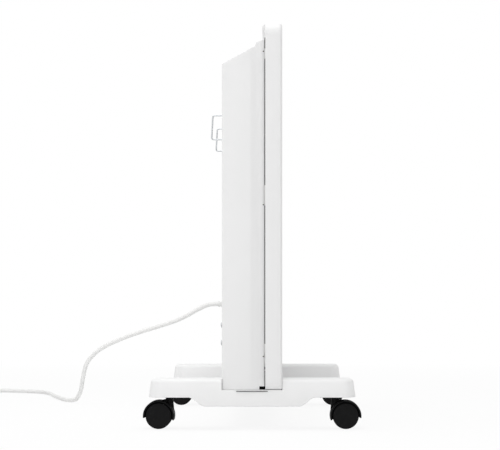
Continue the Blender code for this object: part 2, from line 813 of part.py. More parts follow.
def rear_housing():
    bm = housing_surface()
    add_front_flange(bm)
    housing = placed("rear_housing", bm, WHITE_PAINT)
    mirror = housing.modifiers.new("left half", "MIRROR")
    mirror.merge_threshold = MERGE
    sheet_metal(housing)
    controls = flat_shape(
        "controls_cutter",
        rounded_rectangle(PLATE_WIDTH - 2 * PLATE_OVERLAP, PLATE_LENGTH - 2 * PLATE_OVERLAP,
                          PLATE_CORNER, PLATE_Y, PLATE_Z),
        "X", HALF_HOUSING - OVERRUN, HALF_HOUSING + OVERRUN,
    )
    cut(housing, clip_notch_cutter(), flange_start_cutter(), rear_wall_cutter(), controls)


def panel_catch(name, side):
    """A strip on the housing's flange, with two catches that fill the seam and three clips."""
    inner = FLANGE_HALF + REST_GAP
    back = HOUSING_FRONT_Y - REST_GAP
    bottom = BODY_LIFT + FLANGE_START + REST_GAP
    top = BODY_LIFT + CLIP_HEIGHTS[-1] + CLIP_HEIGHT
    bm = bmesh.new()
    add_side_block(
        bm, side, inner, inner + STRIP_THICKNESS, (back - STRIP_DEPTH, back), (bottom, top)
    )
    strip = placed(name, bm, WHITE_PLASTIC)
    bm = bmesh.new()
    for clip, tall in zip(CLIP_HEIGHTS, CATCH_HEIGHTS):
        low = BODY_LIFT + clip + CATCH_LIFT
        add_side_block(
            bm, side, inner + STRIP_THICKNESS / 2, FRONT_HALF - CLIP_PROUD,
            (back - STRIP_DEPTH / 2, back - REST_GAP / 2), (low, low + tall),
        )
    catches = placed(name + "_blocks", bm)
    bm = bmesh.new()
    for clip in CLIP_HEIGHTS:
        middle = BODY_LIFT + clip
        add_side_block(
            bm, side, inner + STRIP_THICKNESS / 3, FRONT_HALF + CLIP_PROUD,
            (back - STRIP_THICKNESS / 2, HOUSING_FRONT_Y + CLIP_DEPTH),
            (middle - CLIP_HEIGHT / 2, middle + CLIP_HEIGHT / 2),
        )
    join(strip, catches, placed(name + "_clips", bm))


def bottom_plate():
    lean = SIDE_LEAN / (BEND_Y - HOUSING_FRONT_Y)
    half = FRONT_HALF + lean * (BOTTOM_FRONT_Y - HOUSING_FRONT_Y) - SHEET - REST_GAP
    plate = block(
        "bottom_plate", (-half, BOTTOM_FRONT_Y, BOTTOM_LOW), (half, BOTTOM_BACK_Y, BOTTOM_TOP), GALVANISED
    )
    bm = bmesh.new()
    free = 2 * (half - SLOT_MARGIN)
    pitch = (BOTTOM_BACK_Y - BOTTOM_FRONT_Y) / (SLOT_ROWS + 1)
    for column in range(SLOT_COLUMNS):
        across = -free / 2 + free * (column + 1 / 2) / SLOT_COLUMNS
        for row in range(SLOT_ROWS):
            depth = BOTTOM_FRONT_Y + (row + 1) * pitch
            add_block(
                bm,
                (across - SLOT_LENGTH / 2, depth - SLOT_WIDTH / 2, BOTTOM_LOW - OVERRUN),
                (across + SLOT_LENGTH / 2, depth + SLOT_WIDTH / 2, BOTTOM_TOP + OVERRUN),
            )
    cut(plate, placed("plate_slots_cutter", bm), foot_screw_holes("plate_screws_cutter"))


# Heating element and its carriers

def fin_outline():
    """A core with fins whose tips lie on an ellipse."""
    points = []
    root = FIN_THICKNESS / (2 * CORE_RADIUS)
    for i in range(FIN_COUNT):
        angle = 2 * pi * (i + 1 / 2) / FIN_COUNT
        along = Vector((cos(angle), sin(angle)))
        across = Vector((-along.y, along.x)) * FIN_THICKNESS / 2
        tip = Vector((along.x * FIN_REACH_ACROSS, along.y * FIN_REACH_UP))
        low = Vector((cos(angle - root), sin(angle - root))) * CORE_RADIUS
        high = Vector((cos(angle + root), sin(angle + root))) * CORE_RADIUS
        points += [low, tip - across, tip + across, high]
    return [(ELEMENT_Y + p.x, ELEMENT_Z + p.y) for p in points]


def heating_element():
    low = BRACKET_X + ELEMENT_END_GAP
    high = CHASSIS_X - ELEMENT_END_GAP
    reach = ELEMENT_END_GAP + STUD_LENGTH
    element = flat_shape("heating_element", fin_outline(), "X", low, high, ALUMINIUM)
    studs = rod(
        "element_studs", (low - reach, ELEMENT_Y, ELEMENT_Z), (high + reach, ELEMENT_Y, ELEMENT_Z),
        STUD_RADIUS,
    )
    join(element, studs)


def add_stud_hole(bm, across):
    add_rod(
        bm, (across - OVERRUN, ELEMENT_Y, ELEMENT_Z), (across + OVERRUN, ELEMENT_Y, ELEMENT_Z),
        STUD_RADIUS + REST_GAP,
    )


def folded_bracket(name, outer, inner, low, height):
    """A plate across the housing, with a flange that lies on the rear wall."""
    back = BRACKET_BACK_Y - BRACKET_SHEET / 2
    path = [(outer, back), (inner, back), (inner, back - BRACKET_DEPTH)]
    return folded_sheet(name, path, "Z", low, low + height, BRACKET_SHEET, GALVANISED)


def element_bracket():
    outer = -(WALL_INNER_X - FOLD_RADIUS)
    bracket = folded_bracket(
        "element_bracket_left", outer, BRACKET_X, BODY_LIFT + BRACKET_LOW, BRACKET_HEIGHT
    )
    bm = bmesh.new()
    add_stud_hole(bm, BRACKET_X)
    add_screw_holes(bm, -1, BRACKET_FRONT_Y - OVERRUN, REAR_Y)
    cut(bracket, placed("bracket_cutter", bm))


def control_chassis():
    outer = WALL_INNER_X - FOLD_RADIUS
    chassis = folded_bracket(
        "control_chassis", outer, CHASSIS_X, BODY_LIFT + CHASSIS_LOW, CHASSIS_HEIGHT
    )
    bm = bmesh.new()
    add_stud_hole(bm, CHASSIS_X)
    add_screw_holes(bm, 1, BRACKET_FRONT_Y - OVERRUN, REAR_Y)
    add_rod(
        bm, (EXIT_X, BRACKET_FRONT_Y - OVERRUN, EXIT_Z), (EXIT_X, REAR_Y, EXIT_Z),
        GLAND_TAIL_RADIUS + REST_GAP,
    )
    cut(chassis, placed("chassis_cutter", bm))


def heat_shield():
    back = WALL_INNER_Y - REST_GAP - SHIELD_SHEET / 2
    front = WALL_INNER_Y - SHIELD_STANDOFF
    low = BODY_LIFT + SHIELD_LOW
    top = low + SHIELD_HEIGHT
    path = [
        (back, low - SHIELD_STANDOFF), (back, low), (front, low + SHIELD_STANDOFF),
        (front, top - SHIELD_STANDOFF), (back, top), (back, top + SHIELD_STANDOFF),
    ]
    left = BRACKET_X + BRACKET_SHEET / 2 + REST_GAP
    right = CHASSIS_X - BRACKET_SHEET / 2 - REST_GAP
    folded_sheet("heat_shield", path, "X", left, right, SHIELD_SHEET, GALVANISED)


# Parts on the control chassis

def thermal_cutout():
    face = CHASSIS_X - BRACKET_SHEET / 2 - REST_GAP
    profile = [
        (0, CUTOUT_DEPTH + CUTOUT_CAP), (CUTOUT_CAP_RADIUS, CUTOUT_DEPTH + CUTOUT_CAP),
        (CUTOUT_CAP_RADIUS, CUTOUT_DEPTH), (CUTOUT_RADIUS, CUTOUT_DEPTH), (CUTOUT_RADIUS, 0), (0, 0),
    ]
    where = (face, ELEMENT_Y, ELEMENT_Z + CUTOUT_ABOVE_ELEMENT)
    turned("thermal_cutout", profile, CREAM_PLASTIC, where, (0, -pi / 2, 0))


def on_chassis(name, size, height, material):
    """A box in the corner of the chassis, against its plate and its flange."""
    back = BRACKET_FRONT_Y - REST_GAP
    low = BODY_LIFT + height
    return block(
        name, (CHASSIS_FACE_X, back - size[1], low), (CHASSIS_FACE_X + size[0], back, low + size[2]),
        material,
    )


def terminal_block():
    body = on_chassis("terminal_block", BLOCK_SIZE, BLOCK_HEIGHT, CREAM_PLASTIC)
    front = BRACKET_FRONT_Y - REST_GAP - BLOCK_SIZE[1]
    bm = bmesh.new()
    for i in range(BLOCK_SCREWS):
        across = CHASSIS_FACE_X + BLOCK_SIZE[0] / 2
        height = BLOCK_LOW + BLOCK_SIZE[2] * (i + 1 / 2) / BLOCK_SCREWS
        add_rod(
            bm, (across, front - OVERRUN, height), (across, front + BLOCK_SCREW_DEPTH, height),
            BLOCK_SCREW_RADIUS, SMALL_STEPS,
        )
    cut(body, placed("block_screws_cutter", bm))


def tilt_switch():
    round_edges(on_chassis("tilt_switch", TILT_SIZE, TILT_HEIGHT, BLACK_PLASTIC), SHEET)


def wires():
    """One wire from the gland to the terminal block, and one from the element to the thermostat."""
    gap = REST_GAP + WIRE_RADIUS / 8
    tail_y = REAR_Y + REST_GAP - GLAND_TAIL
    block_y = BRACKET_FRONT_Y - REST_GAP - BLOCK_SIZE[1] / 2
    block_x = CHASSIS_FACE_X + BLOCK_SIZE[0]
    block_z = BLOCK_LOW + BLOCK_SIZE[2] / 2
    supply = [
        (EXIT_X, tail_y - gap, EXIT_Z), (EXIT_X, tail_y - WIRE_LEAD, EXIT_Z),
        (EXIT_X, block_y, block_z), (block_x + gap, block_y, block_z),
    ]
    tube("wire_supply", rounded_path(supply, [WIRE_BEND] * 2), WIRE_RADIUS, BROWN_WIRE, 1)
    stud_x = CHASSIS_X + STUD_LENGTH + gap
    clear_x = block_x + WIRE_BEND
    clear_y = ELEMENT_Y - WIRE_BEND
    body_x = THERMOSTAT_FACE_X - THERMOSTAT_SIZE[0] + WIRE_LEAD
    body_z = KNOB_Z - THERMOSTAT_SIZE[2] / 2
    element = [
        (stud_x, ELEMENT_Y, ELEMENT_Z), (clear_x, ELEMENT_Y, ELEMENT_Z),
        (clear_x, clear_y, ELEMENT_Z + 2 * WIRE_LEAD), (clear_x, clear_y, body_z - 5 * WIRE_LEAD),
        (body_x, PLATE_Y, body_z - 2 * WIRE_LEAD), (body_x, PLATE_Y, body_z - gap),
    ]
    tube("wire_element", rounded_path(element, [WIRE_BEND] * 4), WIRE_RADIUS, BROWN_WIRE, 1)


# Control plate, knob and switches

def control_plate():
    plate = flat_shape(
        "control_plate", rounded_rectangle(PLATE_WIDTH, PLATE_LENGTH, PLATE_CORNER, PLATE_Y, PLATE_Z),
        "X", PLATE_LOW_X, PLATE_FACE_X, WHITE_PLASTIC,
    )
    bm = bmesh.new()
    low, high = PLATE_LOW_X - OVERRUN, PLATE_FACE_X + OVERRUN
    add_rod(bm, (low, PLATE_Y, KNOB_Z), (high, PLATE_Y, KNOB_Z), SPINDLE_RADIUS + REST_GAP)
    half_wide, half_tall = SWITCH_BODY[1] / 2 + REST_GAP, SWITCH_BODY[2] / 2 + REST_GAP
    for height in ROCKER_PLACES:
        add_block(
            bm, (low, PLATE_Y - half_wide, height - half_tall), (high, PLATE_Y + half_wide, height + half_tall)
        )
    cut(plate, placed("plate_holes_cutter", bm))


def thermostat():
    deep, wide, tall = THERMOSTAT_SIZE
    face = THERMOSTAT_FACE_X
    body = block(
        "thermostat_body", (face - deep, PLATE_Y - wide / 2, KNOB_Z - tall / 2),
        (face, PLATE_Y + wide / 2, KNOB_Z + tall / 2), CREAM_PLASTIC,
    )
    bore = rod(
        "thermostat_bore_cutter", (face - SPINDLE_SEAT, PLATE_Y, KNOB_Z), (face + OVERRUN, PLATE_Y, KNOB_Z),
        SPINDLE_RADIUS + TURN_GAP,
    )
    cut(round_edges(body, SHEET), bore)


def thermostat_knob():
    """A skirt with a straight grip, and the spindle that it turns."""
    low = PLATE_FACE_X + KNOB_GAP
    inner = THERMOSTAT_FACE_X - SPINDLE_SEAT + REST_GAP
    profile = [
        (0, KNOB_SKIRT), (KNOB_RADIUS - KNOB_MARK, KNOB_SKIRT), (KNOB_RADIUS, KNOB_SKIRT - KNOB_MARK),
        (KNOB_RADIUS, 0), (SPINDLE_RADIUS, 0), (SPINDLE_RADIUS, inner - low), (0, inner - low),
    ]
    knob = turned(
        "thermostat_knob", profile, WHITE_PLASTIC, (low, PLATE_Y, KNOB_Z), (0, pi / 2, 0)
    )
    grip = flat_shape(
        "knob_grip",
        rounded_rectangle(KNOB_GRIP, 2 * (KNOB_RADIUS - KNOB_MARK), KNOB_GRIP / 3, PLATE_Y, KNOB_Z),
        "X", low + KNOB_SKIRT / 2, low + KNOB_HEIGHT - KNOB_SKIRT / 10,
    )
    mark = block(
        "knob_mark", (low + KNOB_SKIRT, PLATE_Y - KNOB_MARK / 2, KNOB_Z + KNOB_GRIP / 2),
        (low + KNOB_HEIGHT, PLATE_Y + KNOB_MARK / 2, KNOB_Z + KNOB_RADIUS - 2 * KNOB_MARK),
    )
    join(knob, grip, mark)


def rocker_switch(number, height):
    frame_deep, frame_wide, frame_tall = SWITCH_FRAME
    body_deep, body_wide, body_tall = SWITCH_BODY
    face = PLATE_FACE_X + REST_GAP
    front = face + frame_deep
    half_wide, half_tall = body_wide / 2 - SWITCH_WALL, body_tall / 2 - SWITCH_WALL
    switch = block(
        f"switch_body_{number}", (face, PLATE_Y - frame_wide / 2, height - frame_tall / 2),
        (front, PLATE_Y + frame_wide / 2, height + frame_tall / 2), BLACK_PLASTIC,
    )
    body = block(
        f"switch_{number}_box", (PLATE_LOW_X - body_deep, PLATE_Y - body_wide / 2, height - body_tall / 2),
        (front - frame_deep / 2, PLATE_Y + body_wide / 2, height + body_tall / 2),
    )
    well = block(
        f"switch_{number}_well_cutter", (front - ROCKER_WELL, PLATE_Y - half_wide, height - half_tall),
        (front + OVERRUN, PLATE_Y + half_wide, height + half_tall),
    )
    join(switch, body)
    cut(switch, well)
    outline = [
        (-ROCKER_ROOT, -ROCKER_HALF_LENGTH), (ROCKER_END, -ROCKER_HALF_LENGTH), (ROCKER_DIP, 0),
        (ROCKER_END, ROCKER_HALF_LENGTH), (-ROCKER_ROOT, ROCKER_HALF_LENGTH),
    ]
    rocker = flat_shape(
        f"rocker_{number}", outline, "Y", PLATE_Y - half_wide + REST_GAP, PLATE_Y + half_wide - REST_GAP,
        BLACK_PLASTIC,
    )
    rocker.location = (front, PLATE_Y, height)
    tilt = Euler((0, ROCKER_TILT, 0)).to_matrix()
    rocker.rotation_euler = (tilt @ lay_square("Y")).to_euler()


# Rear fittings

def cord_loop(name, across):
    """A bent wire whose legs pass through the wall and its bracket, and are turned over inside."""
    low = BODY_LIFT + LOOP_LOW
    top = low + LOOP_HEIGHT
    inside = BRACKET_BACK_Y - LOOP_PLATE - REST_GAP - LOOP_WIRE_RADIUS
    corners = [
        (across, inside, top + LOOP_HOOK), (across, inside, top), (across, REAR_Y + LOOP_REACH_TOP, top),
        (across, REAR_Y + LOOP_REACH_LOW, low), (across, inside, low), (across, inside, low - LOOP_HOOK),
    ]
    radii = [LOOP_HOOK_RADIUS, LOOP_CORNER, LOOP_CORNER, LOOP_HOOK_RADIUS]
    tube(name, rounded_path(corners, radii), LOOP_WIRE_RADIUS, BARE_STEEL)


def loop_bracket(name, across):
    low = BODY_LIFT + LOOP_LOW - LOOP_PLATE_MARGIN
    high = BODY_LIFT + LOOP_LOW + LOOP_HEIGHT + LOOP_PLATE_MARGIN
    plate = block(
        name, (across - LOOP_PLATE_WIDTH / 2, BRACKET_BACK_Y - LOOP_PLATE, low),
        (across + LOOP_PLATE_WIDTH / 2, BRACKET_BACK_Y, high), GALVANISED,
    )
    bm = bmesh.new()
    add_loop_holes(bm, across, BRACKET_BACK_Y - LOOP_PLATE - OVERRUN, REAR_Y)
    cut(plate, placed(name + "_cutter", bm))


def cord_gland():
    length = GLAND_TAIL + GLAND_FLANGE + BOOT_LENGTH
    profile = [
        (0, length), (BOOT_TIP_RADIUS, length), (BOOT_ROOT_RADIUS, GLAND_TAIL + GLAND_FLANGE),
        (GLAND_FLANGE_RADIUS, GLAND_TAIL + GLAND_FLANGE), (GLAND_FLANGE_RADIUS, GLAND_TAIL),
        (GLAND_TAIL_RADIUS, GLAND_TAIL), (GLAND_TAIL_RADIUS, 0), (0, 0),
    ]
    start = REAR_Y + REST_GAP - GLAND_TAIL
    turned("cord_gland", profile, WHITE_PLASTIC, (EXIT_X, start, EXIT_Z), (-pi / 2, 0, 0))


def gland_nut():
    inner = GLAND_TAIL_RADIUS + REST_GAP
    face = BRACKET_FRONT_Y - REST_GAP - NUT_THICKNESS
    profile = [(NUT_RADIUS, NUT_THICKNESS), (NUT_RADIUS, 0), (inner, 0), (inner, NUT_THICKNESS)]
    turned("gland_nut", profile, WHITE_PLASTIC, (EXIT_X, face, EXIT_Z), (-pi / 2, 0, 0), ring=True)


def rear_screws():
    for hand, side in (("left", -1), ("right", 1)):
        for number, up in enumerate(SCREW_HEIGHTS, 1):
            length = SCREW_LENGTH + SCREW_HEAD
            profile = [
                (0, length), (SCREW_HEAD_RADIUS / 2, length),
                (SCREW_HEAD_RADIUS, SCREW_LENGTH + SCREW_HEAD / 3), (SCREW_HEAD_RADIUS, SCREW_LENGTH),
                (SCREW_RADIUS, SCREW_LENGTH), (SCREW_RADIUS, 0), (0, 0),
            ]
            where = (side * SCREW_X, REAR_Y + REST_GAP - SCREW_LENGTH, BODY_LIFT + up)
            turned(
                f"rear_screw_{hand}_{number}", profile, BARE_STEEL, where, (-pi / 2, 0, 0), SMALL_STEPS
            )


# Feet

def foot_screw_places():
    return [(side * FOOT_X, y) for side in (-1, 1) for y in FOOT_SCREW_PLACES]


def foot_screw_holes(name):
    bm = bmesh.new()
    for x, y in foot_screw_places():
        add_rod(
            bm, (x, y, FOOT_LOW), (x, y, BOTTOM_TOP + OVERRUN), FOOT_SCREW_RADIUS + REST_GAP, SMALL_STEPS
        )
    return placed(name, bm)


def foot_screws():
    """Each screw's head sits up inside the foot, and its shank ends above the bottom plate."""
    head_low = FOOT_LOW + FOOT_SCREW_SEAT
    length = BOTTOM_TOP + FOOT_SCREW_REACH - head_low
    profile = [
        (0, length), (FOOT_SCREW_RADIUS, length), (FOOT_SCREW_RADIUS, FOOT_SCREW_HEAD),
        (FOOT_SCREW_HEAD_RADIUS, FOOT_SCREW_HEAD), (FOOT_SCREW_HEAD_RADIUS, 0), (0, 0),
    ]
    for number, (x, y) in enumerate(foot_screw_places(), 1):
        turned(f"foot_screw_{number}", profile, BARE_STEEL, (x, y, head_low), steps=SMALL_STEPS)


def end_outline(end):
    """What is cut away under one end of a foot, where its middle drops in an S curve."""
    rise = FOOT_END_LOW - FOOT_LOW
    steps = 2 * ARC_STEPS
    slope = [
        (MID_HALF_LENGTH + MID_SLOPE_RUN * i / steps, FOOT_LOW + rise * (1 - cos(pi * i / steps)) / 2)
        for i in range(steps + 1)
    ]
    beyond = FOOT_LENGTH / 2 + OVERRUN
    outline = [(MID_HALF_LENGTH, FOOT_LOW - OVERRUN)] + slope
    outline += [(beyond, FOOT_END_LOW), (beyond, FOOT_LOW - OVERRUN)]
    return outline if end > 0 else [(-y, z) for y, z in reversed(outline)]


def foot_end_pocket(name, middle, end):
    """The hollow under one end, with a boss and a cross rib left standing for the castor's stem."""
    near = MID_HALF_LENGTH + MID_SLOPE_RUN + FOOT_WALL
    far = FOOT_LENGTH / 2 - FOOT_WALL - FOOT_EDGE / 3
    roof = FOOT_TOP - FOOT_WALL
    low = FOOT_END_LOW - OVERRUN
    width = FOOT_WIDTH - 2 * FOOT_WALL
    pocket = flat_shape(
        name,
        rounded_rectangle(width, far - near, FOOT_CORNER - FOOT_WALL, middle, end * (near + far) / 2),
        "Z", low, roof,
    )
    y = end * SWIVEL_Y
    boss = rod(name + "_boss", (middle, y, low - OVERRUN), (middle, y, FOOT_TOP), BOSS_RADIUS)
    rib = block(
        name + "_rib", (middle - width, y - FOOT_WALL / 2, FOOT_END_LOW + FOOT_WALL / 2),
        (middle + width, y + FOOT_WALL / 2, FOOT_TOP),
    )
    return cut(pocket, boss, rib)


def foot_middle_cutter(name, middle):
    """Two pockets under the middle, and the counterbores of the screws."""
    bm = bmesh.new()
    near = max(FOOT_SCREW_PLACES) + FOOT_SCREW_HEAD_RADIUS + FOOT_WALL
    half = FOOT_WIDTH / 2 - FOOT_WALL
    top = FOOT_LOW + FOOT_SCREW_SEAT + FOOT_SCREW_HEAD + REST_GAP
    for end in (-1, 1):
        low, high = sorted((end * near, end * (MID_HALF_LENGTH - FOOT_WALL)))
        add_block(bm, (middle - half, low, FOOT_LOW - OVERRUN), (middle + half, high, SEAT_Z - FOOT_WALL))
    for y in FOOT_SCREW_PLACES:
        add_rod(
            bm, (middle, y, FOOT_LOW - OVERRUN), (middle, y, top), FOOT_SCREW_HEAD_RADIUS + REST_GAP
        )
    return placed(name, bm)


def stem_bores(name, middle):
    bm = bmesh.new()
    for end in (-1, 1):
        y = end * SWIVEL_Y
        add_rod(
            bm, (middle, y, FOOT_END_LOW - OVERRUN), (middle, y, FOOT_END_LOW + STEM_SEAT + REST_GAP),
            STEM_RADIUS + TURN_GAP,
        )
    return placed(name, bm)


def foot(name, side, screws):
    middle = side * FOOT_X
    bm = bmesh.new()
    add_block(
        bm, (middle - FOOT_WIDTH / 2, -FOOT_LENGTH / 2, FOOT_LOW),
        (middle + FOOT_WIDTH / 2, FOOT_LENGTH / 2, FOOT_TOP),
    )
    half_height = (FOOT_TOP - FOOT_LOW) / 2
    corners = [e for e in bm.edges if abs(e.verts[0].co.z - e.verts[1].co.z) > half_height]
    bmesh.ops.bevel(
        bm, geom=corners, offset=FOOT_CORNER, segments=ARC_STEPS + 1, profile=0.5, affect="EDGES"
    )
    rim = [e for e in bm.edges if all(v.co.z > FOOT_LOW + half_height for v in e.verts)]
    bmesh.ops.bevel(
        bm, geom=rim, offset=FOOT_EDGE, segments=ARC_STEPS - 1, profile=0.5, affect="EDGES"
    )
    made = placed(name, bm, WHITE_PLASTIC)
    half = BODY_DEPTH / 2 + FOOT_SIDE_GAP
    notch = block(
        name + "_notch_cutter", (middle - FOOT_WIDTH, -half, SEAT_Z), (middle + FOOT_WIDTH, half, PANEL_TOP)
    )
    for end, word in ((-1, "front"), (1, "rear")):
        under = flat_shape(
            f"{name}_{word}_cutter", end_outline(end), "X", middle - FOOT_WIDTH, middle + FOOT_WIDTH
        )
        cut(made, under, foot_end_pocket(f"{name}_{word}_pocket", middle, end))
    cut(
        made, notch, foot_middle_cutter(name + "_middle_cutter", middle), screws,
        stem_bores(name + "_stem_cutter", middle),
    )


# Castors

def hood_outline():
    """The fender's arc above, and the web's round lobe below the axle."""
    fender = arc(TRAIL, WHEEL_RADIUS, HOOD_OUTER, -HOOD_DROOP, pi + HOOD_DROOP, WHEEL_STEPS)
    lobe = arc(TRAIL, WHEEL_RADIUS, WEB_LOBE, pi, 2 * pi, ROUND_STEPS // 2)
    return fender + lobe


def castor_hood():
    """Fender, web, neck and stem as one piece, its swivel axis at the origin and its wheels at +Y."""
    half = WHEEL_NEAR + WHEEL_WIDTH + WHEEL_DISH
    hood = flat_shape("hood_pattern", hood_outline(), "X", -half, half)
    for name, side in (("left", -1), ("right", 1)):
        well = rod(
            f"{name}_well_pattern", (side * WEB_WIDTH / 2, TRAIL, WHEEL_RADIUS),
            (side * (half + OVERRUN), TRAIL, WHEEL_RADIUS), HOOD_INNER, steps=2 * ROUND_STEPS,
        )
        cut(hood, well)
    seat = FOOT_END_LOW - REST_GAP
    profile = [
        (0, seat + STEM_SEAT), (STEM_RADIUS, seat + STEM_SEAT), (STEM_RADIUS, seat),
        (COLLAR_RADIUS, seat), (COLLAR_RADIUS, seat - COLLAR), (NECK_RADIUS, seat - COLLAR),
        (NECK_RADIUS, WHEEL_RADIUS + WEB_LOBE), (0, WHEEL_RADIUS + WEB_LOBE),
    ]
    join(hood, turned("neck_pattern", profile))
    bore = rod(
        "axle_bore_pattern", (-half, TRAIL, WHEEL_RADIUS), (half, TRAIL, WHEEL_RADIUS),
        AXLE_RADIUS + REST_GAP, steps=SMALL_STEPS,
    )
    cut(hood, bore)
    return hood


def castor_wheel():
    """A wheel turned about Z, its inner face at the origin and its dished face up."""
    bore = AXLE_RADIUS + TURN_GAP
    dish = WHEEL_WIDTH - WHEEL_DISH
    profile = [
        (bore, dish), (WHEEL_RADIUS - WHEEL_RIM, dish),
        (WHEEL_RADIUS - WHEEL_RIM + WHEEL_DISH, WHEEL_WIDTH), (WHEEL_RADIUS - WHEEL_ROUND, WHEEL_WIDTH),
        (WHEEL_RADIUS, WHEEL_WIDTH - WHEEL_ROUND), (WHEEL_RADIUS, WHEEL_ROUND),
        (WHEEL_RADIUS - WHEEL_ROUND, 0), (bore, 0),
    ]
    return turned("wheel_pattern", profile, steps=WHEEL_STEPS, ring=True)


def castor_axle():
    half = WHEEL_NEAR + WHEEL_WIDTH - WHEEL_DISH - REST_GAP
    return rod("axle_pattern", (-half, 0, 0), (half, 0, 0), AXLE_RADIUS)


def shared_mesh(pattern, material):
    """The pattern's finished mesh, for the copies that share it."""
    made = meshed(pattern)
    mesh = made.data
    mesh.transform(made.matrix_world)
    mesh.materials.append(material)
    bpy.data.objects.remove(made)
    return mesh


def copy_of(mesh, name, parent, where=(0, 0, 0), turn=(0, 0, 0)):
    item = bpy.data.objects.new(name, mesh)
    item.location = where
    item.rotation_euler = turn
    item.parent = parent
    PARTS.objects.link(item)


def castors():
    hood = shared_mesh(castor_hood(), BLACK_PLASTIC)
    axle = shared_mesh(castor_axle(), BARE_STEEL)
    wheel = shared_mesh(castor_wheel(), BLACK_TREAD)
    for row, y_side in (("front", -1), ("rear", 1)):
        for hand, x_side in (("left", -1), ("right", 1)):
            name = f"castor_{row}_{hand}"
            swivel = bpy.data.objects.new(name + "_swivel", None)
            swivel.location = (x_side * FOOT_X, y_side * SWIVEL_Y, 0)
            swivel.rotation_euler = (0, 0, 0 if y_side > 0 else pi)
            PARTS.objects.link(swivel)
            copy_of(hood, f"{name}_hood", swivel)
            copy_of(axle, f"{name}_axle", swivel, (0, TRAIL, WHEEL_RADIUS))
            for place, out in (("outer", 1), ("inner", -1)):
                away = out * x_side * y_side
                copy_of(
                    wheel, f"{name}_wheel_{place}", swivel,
                    (away * WHEEL_NEAR, TRAIL, WHEEL_RADIUS), (0, away * pi / 2, 0),
                )


# Mains cord

def spline_point(p, q, r, s, share):
    """A point on the Catmull-Rom curve between q and r."""
    return (
        q * 2 + (r - p) * share + (p * 2 - q * 5 + r * 4 - s) * share ** 2
        + (q * 3 - p - r * 3 + s) * share ** 3
    ) / 2


def smooth_route(points, step):
    points = [Vector(p) for p in points]
    ends = [points[0] * 2 - points[1]] + points + [points[-1] * 2 - points[-2]]
    route = [points[0]]
    for p, q, r, s in zip(ends, ends[1:], ends[2:], ends[3:]):
        count = ceil((r - q).length / step)
        route += [spline_point(p, q, r, s, (i + 1) / count) for i in range(count)]
    return route


def coil_frame():
    """The coil's middle, on its lower layer, and its outer radius."""
    outer = COIL_MIDDLE / 2 + COIL_PITCH * COIL_TURNS / 4
    last = Vector(CORD_ROUTE[-1])
    low = CORD_RADIUS + REST_GAP + TIE_THICKNESS + REST_GAP / 2
    return Vector((last.x - outer, last.y + COIL_RUN, low)), outer


def coil_radius(turn, outer):
    """The coil winds inwards at a steady pitch, and outwards again from half its turns."""
    half = COIL_TURNS / 2
    return outer - COIL_PITCH * (half - abs(turn - half))


def leaving():
    """The direction in which the coil's free end points."""
    angle = 2 * pi * COIL_TURNS + pi / 2
    return Vector((cos(angle), sin(angle), 0))


def coil_points():
    """One unbroken tube, which climbs to its second layer in the half turn where it turns back."""
    middle, outer = coil_frame()
    count = ceil(COIL_TURNS * LOOP_POINTS)
    points = [Vector((middle.x + outer, middle.y - CORD_DIAMETER, middle.z))]
    for i in range(count + 1):
        turn = COIL_TURNS * i / count
        radius = coil_radius(turn, outer)
        climb = min(max((turn - COIL_TURNS / 2) * 2 + 1 / 2, 0), 1)
        height = middle.z + COIL_LAYER * (1 - cos(pi * climb)) / 2
        angle = 2 * pi * turn
        points.append(Vector((middle.x + radius * cos(angle), middle.y + radius * sin(angle), height)))
    points.append(points[-1] + leaving() * CORD_DIAMETER)
    return points


def least_gap(points, diameter):
    """The least space between stretches of the tube that aren't next to each other along it."""
    near = 2 * LOOP_POINTS
    quarters = (0, 1 / 4, 1 / 2, 3 / 4)
    middles = [a.lerp(b, share) for a, b in zip(points, points[1:]) for share in quarters]
    return min((a - b).length for i, a in enumerate(middles) for b in middles[i + near:]) - diameter


def length_of(points):
    return sum((b - a).length for a, b in zip(points, points[1:]))


def mains_cord():
    start = Vector((EXIT_X, REAR_Y + 2 * REST_GAP + GLAND_FLANGE + BOOT_LENGTH, EXIT_Z))
    coil = coil_points()
    end = coil[0] - Vector((0, REST_GAP, 0))
    along = Vector((0, CORD_DIAMETER, 0))
    route = [start, start + along] + [Vector(p) for p in CORD_ROUTE] + [end - along, end]
    free = smooth_route(route, CORD_STEP)
    tube("mains_cord", free, CORD_RADIUS, WHITE_CORD)
    tube("cord_coil", coil, CORD_RADIUS, WHITE_CORD, 1)
    print(f"cord {length_of(free) + length_of(coil):.3f} m, its free part {length_of(free):.3f} m")
    print(f"free cord points {len(free)}, coil least gap {least_gap(coil, CORD_DIAMETER):.5f} m")


def cord_tie():
    """A flat band round the bundle, as wide as the turns that pass under it."""
    middle, outer = coil_frame()
    radii = [coil_radius(turn + TIE_TURN, outer) for turn in range(int(COIL_TURNS - TIE_TURN) + 1)]
    near, far = min(radii) - CORD_RADIUS - TIE_GAP, max(radii) + CORD_RADIUS + TIE_GAP
    low = middle.z - CORD_RADIUS - REST_GAP
    high = middle.z + COIL_LAYER + CORD_RADIUS + REST_GAP
    where, turn = (middle.x, middle.y, 0), (0, 0, 2 * pi * TIE_TURN)
    bm = bmesh.new()
    add_block(
        bm, (near - TIE_THICKNESS, -TIE_WIDTH / 2, low - TIE_THICKNESS),
        (far + TIE_THICKNESS, TIE_WIDTH / 2, high + TIE_THICKNESS),
    )
    tie = placed("cord_tie", bm, BLACK_TIE, where, turn)
    bm = bmesh.new()
    add_block(bm, (near, -TIE_WIDTH, low), (far, TIE_WIDTH, high))
    cut(tie, placed("tie_cutter", bm, None, where, turn))


